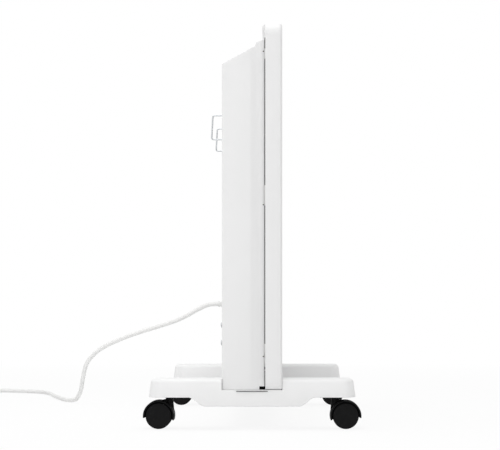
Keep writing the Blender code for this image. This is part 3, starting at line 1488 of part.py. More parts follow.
def plug():
    """A round plug that lies on its back, its pins up and its cord leaving at the side."""
    end = coil_points()[-1]
    away = leaving()
    middle = end + away * (REST_GAP + PLUG_RELIEF + PLUG_RADIUS)
    low = REST_GAP
    height = 2 * (end.z - low)
    profile = [
        (0, height), (PLUG_RADIUS - PLUG_EDGE, height), (PLUG_RADIUS, height - PLUG_EDGE),
        (PLUG_RADIUS, PLUG_EDGE), (PLUG_RADIUS - PLUG_EDGE, 0), (0, 0),
    ]
    body = turned("plug", profile, WHITE_PLASTIC, (middle.x, middle.y, low), steps=WHEEL_STEPS)
    length = PLUG_RELIEF + PLUG_RADIUS / 2
    relief = turned(
        "plug_relief", [(0, length), (PLUG_RELIEF_TIP, length), (PLUG_RELIEF_ROOT, 0), (0, 0)],
        None, middle - away * (PLUG_RADIUS / 2), (-away).to_track_quat("Z", "Y").to_euler(),
    )
    join(body, relief)
    for number, side in enumerate((-1, 1), 1):
        top = PIN_LENGTH + PLUG_EDGE
        pin = [
            (0, top), (PIN_RADIUS - PIN_ROUND, top), (PIN_RADIUS, top - PIN_ROUND), (PIN_RADIUS, 0), (0, 0)
        ]
        place = (middle.x, middle.y + side * PIN_SPACING / 2, low + height - PLUG_EDGE)
        join(body, turned(f"plug_pin_{number}", pin, None, place, steps=SMALL_STEPS))


# The whole heater

front_panel()
panel_top_rail()
outlet_grille()
rear_housing()
panel_catch("panel_catch_left", -1)
panel_catch("panel_catch_right", 1)
bottom_plate()
heating_element()
element_bracket()
control_chassis()
heat_shield()
thermal_cutout()
terminal_block()
tilt_switch()
wires()
control_plate()
thermostat()
thermostat_knob()
for switch_number, switch_height in enumerate(ROCKER_PLACES, 1):
    rocker_switch(switch_number, switch_height)
for loop_hand, loop_place in zip(("left", "right"), LOOP_PLACES):
    cord_loop("cord_loop_" + loop_hand, loop_place)
    loop_bracket("loop_bracket_" + loop_hand, loop_place)
cord_gland()
gland_nut()
rear_screws()
foot_screws()
screw_holes = foot_screw_holes("foot_screws_cutter")
foot("foot_left", -1, screw_holes)
foot("foot_right", 1, screw_holes)
castors()
mains_cord()
cord_tie()
plug()
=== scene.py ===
"""A convector heater on castor feet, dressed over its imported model. All sizes are in metres.

The heater faces -Y, its width runs along X and +Z is up; the photograph looks at its left side.
"""
import json
from math import ceil, cos, pi, radians, sin

import bmesh
import bpy
from mathutils import Matrix, Vector

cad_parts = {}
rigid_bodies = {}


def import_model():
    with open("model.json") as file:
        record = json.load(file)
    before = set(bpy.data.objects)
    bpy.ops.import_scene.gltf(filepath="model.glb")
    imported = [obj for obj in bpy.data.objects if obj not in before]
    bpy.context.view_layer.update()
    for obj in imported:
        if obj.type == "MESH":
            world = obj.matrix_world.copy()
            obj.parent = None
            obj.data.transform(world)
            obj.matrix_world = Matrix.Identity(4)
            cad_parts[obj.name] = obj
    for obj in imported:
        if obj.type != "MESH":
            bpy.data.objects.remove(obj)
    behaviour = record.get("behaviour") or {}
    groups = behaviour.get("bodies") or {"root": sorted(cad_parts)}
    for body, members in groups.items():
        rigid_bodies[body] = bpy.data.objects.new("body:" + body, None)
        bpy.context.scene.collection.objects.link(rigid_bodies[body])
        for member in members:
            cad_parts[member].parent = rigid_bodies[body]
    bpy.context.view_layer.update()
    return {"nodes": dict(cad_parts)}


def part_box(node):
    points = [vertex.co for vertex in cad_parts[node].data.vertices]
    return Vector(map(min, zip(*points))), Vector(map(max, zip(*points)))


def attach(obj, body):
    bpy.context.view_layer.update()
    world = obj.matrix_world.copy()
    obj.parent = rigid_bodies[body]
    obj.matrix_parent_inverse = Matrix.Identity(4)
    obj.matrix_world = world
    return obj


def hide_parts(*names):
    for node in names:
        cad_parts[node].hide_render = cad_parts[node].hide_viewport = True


for leftover in list(bpy.data.objects):
    bpy.data.objects.remove(leftover)
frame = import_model()
scene = bpy.context.scene
nodes = frame["nodes"]
SIDES = {"left": -1, "right": 1}


def linked(name, data):
    """A new object in the scene."""
    item = bpy.data.objects.new(name, data)
    scene.collection.objects.link(item)
    return item


# Camera
# A long lens 15 cm above the floor, level and square to the heater's left side. Its frame is moved
# up and to one side without tilting, which keeps upright edges upright.

PICTURE_WIDTH = 500
PICTURE_HEIGHT = 450
FOCAL_PIXELS = 1759
AXIS_PIXEL = (276.4, 305)
EYE = (-2.4365, -0.0298, 0.1526)

lens = bpy.data.cameras.new("camera")
lens.sensor_width = 36
lens.lens = lens.sensor_width * FOCAL_PIXELS / PICTURE_WIDTH
lens.shift_x = (PICTURE_WIDTH / 2 - AXIS_PIXEL[0]) / PICTURE_WIDTH
lens.shift_y = (AXIS_PIXEL[1] - PICTURE_HEIGHT / 2) / PICTURE_WIDTH
camera = linked("camera", lens)
camera.location = EYE
camera.rotation_euler = (pi / 2, 0, -pi / 2)
scene.camera = camera
scene.view_settings.view_transform = "Standard"


# Studio
# A white floor that runs out of sight, a pale even surround, and large soft lamps above and
# beside the heater. The floor looks white to the camera and keeps a faint contact shadow.

FLOOR_SIZE = 16
FLOOR_DROP = 0.0002
SHADOW_REACH = (0.7, 2.2)
SURROUND = 0.6
FLOOR_WHITE = 0.88


def colour(code):
    """The linear colour of an sRGB hex value."""
    parts = [int(code[i:i + 2], 16) / 255 for i in (1, 3, 5)]
    linear = [p / 12.92 if p <= 0.04045 else ((p + 0.055) / 1.055) ** 2.4 for p in parts]
    return (*linear, 1)


def node(tree, kind, inputs=(), **settings):
    """A new shader node with its settings, and its inputs set to values or linked to outputs."""
    made = tree.nodes.new("ShaderNode" + kind)
    for name, value in settings.items():
        setattr(made, name, value)
    for name, value in dict(inputs).items():
        if isinstance(value, bpy.types.NodeSocket):
            tree.links.new(value, made.inputs[name])
        else:
            made.inputs[name].default_value = value
    return made


def shown_rays(tree):
    """1 for the rays to which the surround and the floor look white, and 0 for those that light."""
    path = node(tree, "LightPath").outputs
    rays = path["Is Camera Ray"]
    for kind in ("Is Glossy Ray", "Is Transmission Ray"):
        rays = node(tree, "Math", {0: rays, 1: path[kind]}, operation="MAXIMUM").outputs[0]
    return rays


def white_surround():
    world = bpy.data.worlds.new("surround")
    world.use_nodes = True
    tree = world.node_tree
    tree.nodes.clear()
    dim = node(tree, "Background", {"Color": colour("#ffffff"), "Strength": SURROUND})
    white = node(tree, "Background", {"Color": colour("#ffffff"), "Strength": 1})
    mixed = node(tree, "MixShader", {0: shown_rays(tree), 1: dim.outputs[0], 2: white.outputs[0]})
    node(tree, "OutputWorld", {"Surface": mixed.outputs[0]})
    scene.world = world


def white_floor():
    material = bpy.data.materials.new("white_floor")
    material.use_nodes = True
    tree = material.node_tree
    tree.nodes.clear()
    place = node(tree, "TexCoord").outputs["Object"]
    away = node(tree, "VectorMath", {0: place}, operation="LENGTH")
    share = node(tree, "MapRange", {
        "Value": away.outputs["Value"], "From Min": SHADOW_REACH[0], "From Max": SHADOW_REACH[1],
        "To Min": FLOOR_WHITE, "To Max": 1,
    })
    seen = node(tree, "Math", {0: shown_rays(tree), 1: share.outputs[0]}, operation="MULTIPLY")
    paper = node(tree, "BsdfDiffuse", {"Color": colour("#f4f4f4")})
    white = node(tree, "Emission", {"Color": colour("#ffffff"), "Strength": 1})
    mixed = node(tree, "MixShader", {0: seen.outputs[0], 1: paper.outputs[0], 2: white.outputs[0]})
    node(tree, "OutputMaterial", {"Surface": mixed.outputs[0]})
    bm = bmesh.new()
    bmesh.ops.create_grid(bm, x_segments=1, y_segments=1, size=FLOOR_SIZE / 2)
    mesh = bpy.data.meshes.new("floor")
    bm.to_mesh(mesh)
    bm.free()
    mesh.materials.append(material)
    floor = linked("floor", mesh)
    floor.location.z = -FLOOR_DROP


def soft_lamp(name, place, target, size, power):
    lamp = bpy.data.lights.new(name, "AREA")
    lamp.shape = "SQUARE"
    lamp.size = size
    lamp.energy = power
    item = linked(name, lamp)
    item.location = place
    item.rotation_euler = (Vector(target) - Vector(place)).to_track_quat("-Z", "Y").to_euler()


white_surround()
white_floor()
soft_lamp("overhead_lamp", (-0.3, 0.4, 2.6), (0, 0.1, 0), 2.2, 31)
soft_lamp("left_lamp", (-2.9, 0.6, 1.2), (0, 0, 0.25), 1.6, 15)
soft_lamp("front_lamp", (0.8, -2.8, 1.4), (0, 0, 0.3), 1.6, 1.2)


# Mains cord
# Three cores in a round sheath of white PVC, extruded, so that it is smooth and slightly waxy. It
# leaves the rear of the heater, falls to the floor and ends in a tied coil and its plug.

CORD_DIAMETER = 0.0065
CORD_RADIUS = CORD_DIAMETER / 2
CORD_EXIT = Vector((0.2500, 0.0584, 0.1540))
CORD_ROUTE = (
    (0.2502, 0.0735, 0.1531),
    (0.2511, 0.0815, 0.1502),
    (0.2527, 0.0915, 0.1452),
    (0.2560, 0.1177, 0.1313),
    (0.2600, 0.1486, 0.1206),
    (0.2660, 0.1797, 0.1111),
    (0.2710, 0.2109, 0.0997),
    (0.2750, 0.2421, 0.0843),
    (0.2780, 0.2620, 0.0640),
    (0.2810, 0.2690, 0.0398),
    (0.2872, 0.2731, 0.0203),
    (0.2998, 0.2810, 0.0072),
    (0.3200, 0.2930, 0.0037),
    (0.3500, 0.3070, 0.0036),
    (0.3900, 0.3188, 0.0036),
    (0.4350, 0.3304, 0.0036),
    (0.4935, 0.3439, 0.0036),
    (0.5480, 0.3580, 0.0036),
    (0.5860, 0.3780, 0.0036),
    (0.6080, 0.4080, 0.0037),
    (0.6163, 0.4450, 0.0042),
)
CORD_STEP = 0.003
CORD_TIP = 0.0003
COIL_MIDDLE = Vector((0.57295, 0.5080, 0.0045))
COIL_OUTER = 0.04335
COIL_TURNS = 3.25
COIL_PITCH = 0.0072
COIL_LAYER = 0.0071
LOOP_POINTS = 48


def spline_point(p, q, r, s, share):
    """A point on the Catmull-Rom curve between q and r."""
    return (
        q * 2 + (r - p) * share + (p * 2 - q * 5 + r * 4 - s) * share ** 2
        + (q * 3 - p - r * 3 + s) * share ** 3
    ) / 2


def smooth_route(points, step):
    ends = [points[0] * 2 - points[1]] + points + [points[-1] * 2 - points[-2]]
    route = [points[0]]
    for p, q, r, s in zip(ends, ends[1:], ends[2:], ends[3:]):
        count = ceil((r - q).length / step)
        route += [spline_point(p, q, r, s, (i + 1) / count) for i in range(count)]
    return route


def coil_points():
    """Turns that wind inwards and outwards again, and climb a layer where they turn back."""
    points = []
    count = ceil(COIL_TURNS * LOOP_POINTS)
    half = COIL_TURNS / 2
    for i in range(count + 1):
        turn = COIL_TURNS * i / count
        radius = COIL_OUTER - COIL_PITCH * (half - abs(turn - half))
        climb = min(max((turn - half) * 2 + 1 / 2, 0), 1)
        height = COIL_LAYER * (1 - cos(pi * climb)) / 2
        angle = 2 * pi * turn
        points.append(COIL_MIDDLE + Vector((radius * cos(angle), radius * sin(angle), height)))
    return points


def tube(name, points, radius, material):
    """A round tube along the points, with flat ends."""
    curve = bpy.data.curves.new(name, "CURVE")
    curve.dimensions = "3D"
    curve.bevel_depth = radius
    curve.bevel_resolution = 6
    curve.use_fill_caps = True
    spline = curve.splines.new("POLY")
    spline.points.add(len(points) - 1)
    for point, place in zip(spline.points, points):
        point.co = (*place, 1)
    spline.use_smooth = True
    curve.materials.append(material)
    return linked(name, curve)


def declared(item, slot, body, *replaced):
    """Gives a piece the body that it rides on and hides the nodes it replaces; its slot is not
    used.
    """
    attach(item, body)
    if replaced:
        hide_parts(*replaced)
    return item


def surface(name, pale, deep, patch, gloss, grain, depth, **sockets):
    """A material whose colour and gloss drift from patch to patch, with a finely grained skin."""
    material = bpy.data.materials.new(name)
    material.use_nodes = True
    tree = material.node_tree
    shader = tree.nodes["Principled BSDF"]
    place = node(tree, "TexCoord").outputs["Object"]
    drift = node(tree, "TexNoise", {"Vector": place, "Scale": 1 / patch, "Detail": 3}).outputs[0]
    tones = {0: drift, 6: colour(pale), 7: colour(deep)}
    tint = node(tree, "Mix", tones, data_type="RGBA").outputs[2]
    low, high = gloss
    rough = node(tree, "MapRange", {"Value": drift, "To Min": low, "To Max": high}).outputs[0]
    skin = node(tree, "TexNoise", {"Vector": place, "Scale": 1 / grain, "Detail": 2}).outputs[0]
    bump = node(tree, "Bump", {"Height": skin, "Strength": 1, "Distance": depth}).outputs[0]
    for socket, value in (("Base Color", tint), ("Roughness", rough), ("Normal", bump)):
        tree.links.new(value, shader.inputs[socket])
    for socket, value in sockets.items():
        shader.inputs[socket.replace("_", " ")].default_value = value
    return material


# PVC sheath, extruded: waxy white, with slow waves in its skin
white_pvc = surface(
    "extruded_white_pvc", "#f0f0ef", "#e9e9e8", 0.03, (0.4, 0.5), 0.003, 0.000006, IOR=1.53
)

coil = coil_points()
coil_start = coil[0] - Vector((0, CORD_DIAMETER, 0))
coil_end = coil[-1] - Vector((CORD_DIAMETER, 0, 0))
straight = Vector((0, CORD_DIAMETER, 0))
free = [CORD_EXIT, CORD_EXIT + straight * 1.2] + [Vector(p) for p in CORD_ROUTE]
free += [coil_start - straight, coil_start]
route = smooth_route(free, CORD_STEP) + coil + [coil_end, coil_end - Vector((CORD_TIP, 0, 0))]
cord = declared(
    tube("cord", route, CORD_RADIUS, white_pvc), "white_cord_sheath", "heater", "mains_cord",
    "cord_coil",
)


# Cord tie
# A strap of woven hook-and-loop tape wound once round the coil, where three turns lie together. It
# is dull black, with its weave in fine ribs.

TIE_THICKNESS = 0.0008
TIE_WIDTH = 0.008
TIE_TURN = 0.625
TIE_BEND = 0.0042
TIE_EDGE = 0.0002
TIE_WEAVE = 0.0008
# Points as close as this are one
NEAR = 0.00001


def centre(name):
    """The middle of a node's box."""
    low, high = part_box(name)
    return (low + high) / 2


def placed(bm, place, angle=0, axis="Z"):
    """Turns a mesh about an axis and sets it in its place."""
    matrix = Matrix.Translation(place) @ Matrix.Rotation(angle, 4, axis)
    bmesh.ops.transform(bm, matrix=matrix, verts=bm.verts)
    return bm


def arc(across, up, radius, start, end, steps):
    angles = [start + (end - start) * i / steps for i in range(steps + 1)]
    return [(across + radius * cos(a), up + radius * sin(a)) for a in angles]


def rounded_rectangle(width, height, radius, across=0, up=0, steps=8):
    corners = ((1, 1, 0), (-1, 1, 1), (-1, -1, 2), (1, -1, 3))
    return [
        point
        for side, top, quarter in corners
        for point in arc(
            across + side * (width / 2 - radius), up + top * (height / 2 - radius), radius,
            quarter * pi / 2, (quarter + 1) * pi / 2, steps,
        )
    ]


def lay(axis, across, up, along):
    """A drawing's point in space: it is drawn as (y, z), (x, z) or (x, y), square to an axis."""
    places = {"X": (along, across, up), "Y": (across, along, up), "Z": (across, up, along)}
    return Vector(places[axis])


def drawn_out(outline, axis, low, high):
    """A closed outline drawn out between two places along an axis."""
    bm = bmesh.new()
    face = bm.faces.new([bm.verts.new(lay(axis, across, up, low)) for across, up in outline])
    made = bmesh.ops.extrude_face_region(bm, geom=[face])
    moved = [v for v in made["geom"] if isinstance(v, bmesh.types.BMVert)]
    bmesh.ops.translate(bm, vec=lay(axis, 0, 0, high - low), verts=moved)
    bmesh.ops.recalc_face_normals(bm, faces=bm.faces)
    return bm


def held(bm):
    """A passing object that carries a mesh while modifiers work on it."""
    mesh = bpy.data.meshes.new("passing")
    bm.to_mesh(mesh)
    bm.free()
    return linked("passing", mesh)


def finished(item, *helpers):
    """The mesh that an object's modifiers make of it; the object and its helpers go."""
    view = item.evaluated_get(bpy.context.evaluated_depsgraph_get())
    bm = bmesh.new()
    bm.from_mesh(view.to_mesh())
    for used in (item, *helpers):
        bpy.data.objects.remove(used)
    return bm


def cut(bm, *cutters):
    item = held(bm)
    helpers = [held(cutter) for cutter in cutters]
    for helper in helpers:
        boolean = item.modifiers.new("cut", "BOOLEAN")
        boolean.operation = "DIFFERENCE"
        boolean.object = helper
    return finished(item, *helpers)


def bevel(bm, edges, width, segments=4):
    bmesh.ops.bevel(
        bm, geom=edges, offset=width, segments=segments, profile=0.5, affect="EDGES",
        clamp_overlap=True,
    )
    return bm


def folded_edges(bm, above):
    """The edges at which two faces meet more sharply than an angle in degrees."""
    return [e for e in bm.edges if len(e.link_faces) == 2 and e.calc_face_angle() > radians(above)]


def soften(bm, width, above=30, segments=2):
    return bevel(bm, folded_edges(bm, above), width, segments)


def piece(name, bm, material, slot, body, *replaced, sharp=32):
    """The object that shows a finished mesh."""
    mesh = bpy.data.meshes.new(name)
    bm.to_mesh(mesh)
    bm.free()
    mesh.shade_smooth()
    mesh.set_sharp_from_angle(angle=radians(sharp))
    mesh.materials.append(material)
    return declared(linked(name, mesh), slot, body, *replaced)


def woven_strap():
    material = surface("woven_black_tape", "#1d1d1f", "#131314", 0.006, (0.8, 0.95), 0.0005, 0.0001)
    tree = material.node_tree
    place = node(tree, "TexCoord").outputs["Object"]
    rib = {"Vector": place, "Scale": 0.5 / TIE_WEAVE}
    ribs = node(tree, "TexWave", rib, bands_direction="DIAGONAL")
    bump = node(tree, "Bump", {"Height": ribs.outputs[1], "Strength": 1, "Distance": 0.0002})
    tree.links.new(bump.outputs[0], tree.nodes["Principled BSDF"].inputs["Normal"])
    return material


def wound_strap():
    """A band with rounded bends, drawn out along the cord and set in its place on the coil."""
    low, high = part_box("cord_tie")
    tall = high.z - low.z
    deep = (high.x - low.x) * 2 ** 0.5 - TIE_WIDTH
    band = drawn_out(rounded_rectangle(deep, tall, TIE_BEND), "Y", -TIE_WIDTH / 2, TIE_WIDTH / 2)
    inside = rounded_rectangle(
        deep - 2 * TIE_THICKNESS, tall - 2 * TIE_THICKNESS, TIE_BEND - TIE_THICKNESS
    )
    band = soften(cut(band, drawn_out(inside, "Y", -TIE_WIDTH, TIE_WIDTH)), TIE_EDGE, 60)
    return placed(band, centre("cord_tie"), 2 * pi * TIE_TURN)


tie = piece("wound_tie", wound_strap(), woven_strap(), "black_tie", "heater", "cord_tie")


# Plug and cord gland
# Both are moulded in white PVC: the plug is a round body with two nickel-plated pins, and the gland
# holds the cord in the wall with a tapered, ribbed sleeve.

# Moulded PVC: a satin white skin with the faint grain of the mould
moulded_pvc = surface(
    "moulded_white_pvc", "#eeeeed", "#e8e8e7", 0.02, (0.38, 0.46), 0.0015, 0.00003, IOR=1.53
)
PLUG_EDGE = 0.002
PLUG_RADIUS = 0.018
PLUG_FACE_RADIUS = 0.0145
PLUG_FACE_DEPTH = 0.001
PLUG_FACE_SLOPE = 0.0007
PLUG_WAIST = 0.0008
RELIEF_ROOT = 0.0062
RELIEF_TAPER = 0.0024
RELIEF_RIBS = 7
RELIEF_NECK = 0.0060
RELIEF_START = 0.002
RELIEF_PLAIN = 0.003
RIB_DEPTH = 0.0007

plug_low, plug_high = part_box("plug")
plug_middle = Vector((plug_low.x + PLUG_RADIUS, (plug_low.y + plug_high.y) / 2, plug_low.z))
plug_height = 2 * (coil[-1].z - plug_low.z)


def turned(profile, steps=64):
    """A profile of (radius, height) points turned about Z."""
    bm = bmesh.new()
    line = [bm.verts.new((radius, 0, height)) for radius, height in profile]
    edges = [bm.edges.new(pair) for pair in zip(line, line[1:])]
    bmesh.ops.spin(
        bm, geom=line + edges, cent=(0, 0, 0), axis=(0, 0, 1), angle=2 * pi, steps=steps,
        use_merge=True,
    )
    bmesh.ops.remove_doubles(bm, verts=bm.verts, dist=NEAR)
    bmesh.ops.recalc_face_normals(bm, faces=bm.faces)
    return bm


def rounded_rim(radius, top, edge, steps):
    """The rounded upper corner of a turned profile."""
    return arc(radius - edge, top - edge, edge, pi / 2, 0, steps)


def joined(*meshes):
    """Several meshes in one, as separate shells."""
    whole = bmesh.new()
    for bm in meshes:
        passing = bpy.data.meshes.new("passing")
        bm.to_mesh(passing)
        bm.free()
        whole.from_mesh(passing)
        bpy.data.meshes.remove(passing)
    return whole


def plug_grip():
    """A round grip with a waist, and a shallow recess round its pins."""
    face, waist = plug_height - PLUG_FACE_DEPTH, PLUG_RADIUS - PLUG_WAIST
    profile = [(0, face), (PLUG_FACE_RADIUS, face)]
    profile.append((PLUG_FACE_RADIUS + PLUG_FACE_SLOPE, plug_height))
    profile += rounded_rim(PLUG_RADIUS, plug_height, PLUG_EDGE, 6)
    for radius, share in ((PLUG_RADIUS, 0.62), (waist, 0.58), (waist, 0.3), (PLUG_RADIUS, 0.26)):
        profile.append((radius, plug_height * share))
    profile += arc(PLUG_RADIUS - PLUG_EDGE, PLUG_EDGE, PLUG_EDGE, 0, -pi / 2, 6) + [(0, 0)]
    return placed(turned(profile, 96), plug_middle)


def plug_relief():
    """A tapered sleeve with ribs that let it bend."""
    profile = [(RELIEF_NECK, PLUG_RADIUS * 0.8)]
    length = plug_high.x - plug_middle.x
    ribbed = length - PLUG_RADIUS - RELIEF_PLAIN
    pitch = ribbed / RELIEF_RIBS
    for i in range(RELIEF_RIBS):
        radius = RELIEF_ROOT - RELIEF_TAPER * i / RELIEF_RIBS
        start = PLUG_RADIUS + RELIEF_START + ribbed * i / RELIEF_RIBS
        for depth, share in ((0, 0), (0, 0.5), (RIB_DEPTH, 0.6), (RIB_DEPTH, 0.9)):
            profile.append((radius - depth, start + pitch * share))
    profile += [(RELIEF_ROOT - RELIEF_TAPER, length), (0, length)]
    bm = turned(list(reversed(profile)), 48)
    return placed(bm, plug_middle + Vector((0, 0, plug_height / 2)), pi / 2, "Y")


plug = piece(
    "plug_body", joined(plug_grip(), plug_relief()), moulded_pvc, "white_moulded_plastic", "heater",
    "plug",
)
# Nickel plate on brass, bright and faintly drawn
nickel = surface(
    "nickel_plated_brass", "#d3d1cc", "#c4c1bb", 0.004, (0.2, 0.3), 0.0008, 0.00001, Metallic=1.0
)
PIN_RADIUS = 0.0024
PIN_TIP = 0.0012
PIN_ROOT = 0.0012
PIN_SPACING = 0.019


def plug_pin(number, side):
    base = plug_middle + Vector((0, side * PIN_SPACING / 2, plug_height - PIN_ROOT))
    length = plug_high.z - base.z
    tip = rounded_rim(PIN_RADIUS, length, PIN_TIP, 5)
    bm = turned([(0, length)] + tip + [(PIN_RADIUS, 0), (0, 0)], 40)
    return piece(f"plug_pin_{number}", placed(bm, base), nickel, "bright_steel", "heater")


pins = [plug_pin(number, side) for number, side in enumerate((-1, 1), 1)]
GLAND_FLANGE = 0.0023
GLAND_SLEEVE = 0.0200
GLAND_ROOT = 0.0065
GLAND_TIP = 0.0040
GLAND_TAIL = 0.0060
GLAND_PLAY = 0.0002
GLAND_MOUTH = 0.0014
GLAND_EDGE = 0.0004
GLAND_FLANGE_EDGE = 0.0008
GLAND_FILLET = 0.0006
GLAND_GROOVES = 6
# A groove's outline: depths in the sleeve, and places along it from the groove's middle
GLAND_GROOVE = ((0.0001, 0.0009), (0.0008, 0.0006), (0.0008, -0.0006), (0, -0.0009))


def gland():
    """Flange and grooved sleeve turned about the cord, with a mouth that the cord enters."""
    low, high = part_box("cord_gland")
    reach = high.y - low.y
    wall = reach - GLAND_SLEEVE - GLAND_FLANGE
    root = wall + GLAND_FLANGE
    radius = (high.x - low.x) / 2
    mouth = CORD_RADIUS + GLAND_PLAY
    profile = [(mouth, reach - GLAND_MOUTH), (mouth, reach - GLAND_EDGE)]
    profile += rounded_rim(GLAND_TIP, reach, GLAND_EDGE, 3)
    for i in reversed(range(GLAND_GROOVES)):
        share = (i + 0.3) / (GLAND_GROOVES + 0.6)
        at = root + GLAND_SLEEVE * share
        here = GLAND_ROOT + (GLAND_TIP - GLAND_ROOT) * share
        profile += [(here - depth, at + along) for depth, along in GLAND_GROOVE]
    profile += [(GLAND_ROOT, root + GLAND_FILLET), (GLAND_ROOT + GLAND_FILLET, root)]
    profile += rounded_rim(radius, root, GLAND_FLANGE_EDGE, 4)
    profile += [(radius, wall), (GLAND_TAIL, wall), (GLAND_TAIL, 0), (0, 0)]
    profile.append((0, reach - GLAND_MOUTH))
    middle = centre("cord_gland")
    bm = placed(turned(profile + profile[:1], 64), (middle.x, low.y, middle.z), -pi / 2, "X")
    return piece("gland_sleeve", bm, moulded_pvc, "white_moulded_plastic", "heater", "cord_gland")


gland()


# Front panel
# A tray deep-drawn from 1.2 mm steel sheet, with soft corners and a window for the warm air. It is
# powder-coated in satin white, which leaves a faint orange peel.

# Powder coat on steel: even and satin; its orange peel is drawn 5 mm wide, to show at this size
powder_coat = surface(
    "white_powder_coat", "#efefef", "#eaeaea", 0.12, (0.38, 0.46), 0.005, 0.00005,
    Specular_IOR_Level=0.3,
)
SHEET = 0.0012
PANEL_CORNER = 0.018
PANEL_FOOT_CORNER = 0.010
PANEL_EDGE = 0.0045
PANEL_FOOT_EDGE = 0.35
PANEL_LIP = 0.010
WINDOW_SIDE = 0.040
WINDOW_DROP = 0.030
WINDOW_HEIGHT = 0.034
WINDOW_CORNER = 0.005
OVERRUN = 0.004


def add_block(bm, low, high):
    low, high = Vector(low), Vector(high)
    matrix = Matrix.Translation((low + high) / 2) @ Matrix.Diagonal((*(high - low), 1))
    return bmesh.ops.create_cube(bm, size=1, matrix=matrix)["verts"]


def block(low, high):
    bm = bmesh.new()
    add_block(bm, low, high)
    return bm


def sheet(bm, thickness):
    """An open surface given the thickness of sheet metal, inwards."""
    item = held(bm)
    solidify = item.modifiers.new("sheet", "SOLIDIFY")
    solidify.thickness = thickness
    solidify.offset = -1
    solidify.use_even_offset = True
    return finished(item)


def pressed_tray():
    low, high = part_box("front_panel")
    bm = block(low, high)
    depth = high.y - low.y
    half_way = (low.z + high.z) / 2
    for is_top, radius in ((True, PANEL_CORNER), (False, PANEL_FOOT_CORNER)):
        corners = [
            e for e in bm.edges
            if abs(e.verts[0].co.y - e.verts[1].co.y) > depth / 2
            and (e.verts[0].co.z > half_way) == is_top
        ]
        bevel(bm, corners, radius, 14)
    middle = (low.y + high.y) / 2
    share = bm.edges.layers.float.new("bevel_weight_edge")
    for e in bm.edges:
        if all(v.co.y < middle for v in e.verts):
            height = (e.verts[0].co.z + e.verts[1].co.z) / 2 - low.z
            rise = min(height / PANEL_FOOT_CORNER, 1)
            e[share] = PANEL_FOOT_EDGE + (1 - PANEL_FOOT_EDGE) * rise
    item = held(bm)
    rim = item.modifiers.new("rim", "BEVEL")
    rim.limit_method = "WEIGHT"
    rim.width = PANEL_EDGE
    rim.segments = 8
    bm = finished(item)
    back = [f for f in bm.faces if all(v.co.y > middle for v in f.verts)]
    bmesh.ops.inset_region(bm, faces=back, thickness=PANEL_LIP, use_even_offset=True)
    top = high.z - PANEL_CORNER
    lip_top = [
        f for f in bm.faces
        if all(v.co.y > middle for v in f.verts) and f.calc_center_median().z > top
        and abs(f.calc_center_median().x) < high.x / 2
    ]
    bmesh.ops.delete(bm, geom=list({*back, *lip_top}), context="FACES")
    bmesh.ops.recalc_face_normals(bm, faces=bm.faces)
    if bm.faces[0].calc_center_median().dot(bm.faces[0].normal) < 0:
        bmesh.ops.reverse_faces(bm, faces=bm.faces)
    window = drawn_out(
        rounded_rectangle(
            high.x - low.x - 2 * WINDOW_SIDE, WINDOW_HEIGHT, WINDOW_CORNER,
            up=high.z - WINDOW_DROP - WINDOW_HEIGHT / 2,
        ),
        "Y", low.y - OVERRUN, low.y + OVERRUN,
    )
    return cut(sheet(bm, SHEET), window)


piece(
    "pressed_front_panel", pressed_tray(), powder_coat, "white_painted_steel", "heater",
    "front_panel",
)


# Top rail
# A strip of the same sheet, rolled to a bead that closes the back of the panel's top edge. Its ends
# are pinched shut.

BEAD_REACH = 0.0038
BEAD_HEIGHT = 0.0105
BEAD_SKEW = 1.3
BEAD_LEAN = 0.004
BEAD_TAIL = 1.6
BEAD_EDGE = 0.0012
BEAD_STEPS = 24


def rolled_rail():
    """The strip, fullest above its middle, with ends that are pinched shut and lean in."""
    low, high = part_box("panel_top_rail")
    back = high.y - BEAD_REACH
    bulge = []
    for i in range(BEAD_STEPS + 1):
        reach = sin(pi * i / BEAD_STEPS) ** (1 if i < BEAD_STEPS / 2 else BEAD_TAIL)
        drop = (i / BEAD_STEPS) ** BEAD_SKEW
        bulge.append((back + BEAD_REACH * reach, high.z - BEAD_HEIGHT * drop))
    bm = drawn_out([(low.y, high.z)] + bulge + [(back, low.z), (low.y, low.z)], "X", low.x, high.x)
    for v in bm.verts:
        v.co.x *= 1 - BEAD_LEAN / high.x * max(v.co.y - back, 0) / BEAD_REACH
    ends = [e for e in bm.edges if abs(e.verts[0].co.x - e.verts[1].co.x) < 2 * BEAD_LEAN]
    return bevel(bm, ends, BEAD_EDGE)


piece(
    "rolled_top_rail", rolled_rail(), powder_coat, "white_painted_steel", "heater", "panel_top_rail"
)


# Outlet grille
# A die-cast frame with tilted blades and three uprights behind the window, coated pale grey.

# Coated castings: a flat pale grey with a sandy skin
grey_coat = surface("pale_grey_coat", "#c9cacb", "#bfc0c1", 0.05, (0.5, 0.6), 0.0012, 0.00006)
BLADES = 5
BLADE_DEPTH = 0.0075
BLADE_THICKNESS = 0.0014
BLADE_TILT = radians(32)
UPRIGHTS = 3
UPRIGHT_WIDTH = 0.003
GRILLE_OVERLAP = 0.004
GRILLE_FRAME = 0.0035
GRILLE_ROOT = 0.001
GRILLE_EDGE = 0.0005
BLADE_SET_BACK = 0.0003
UPRIGHT_SET_BACK = 0.0012


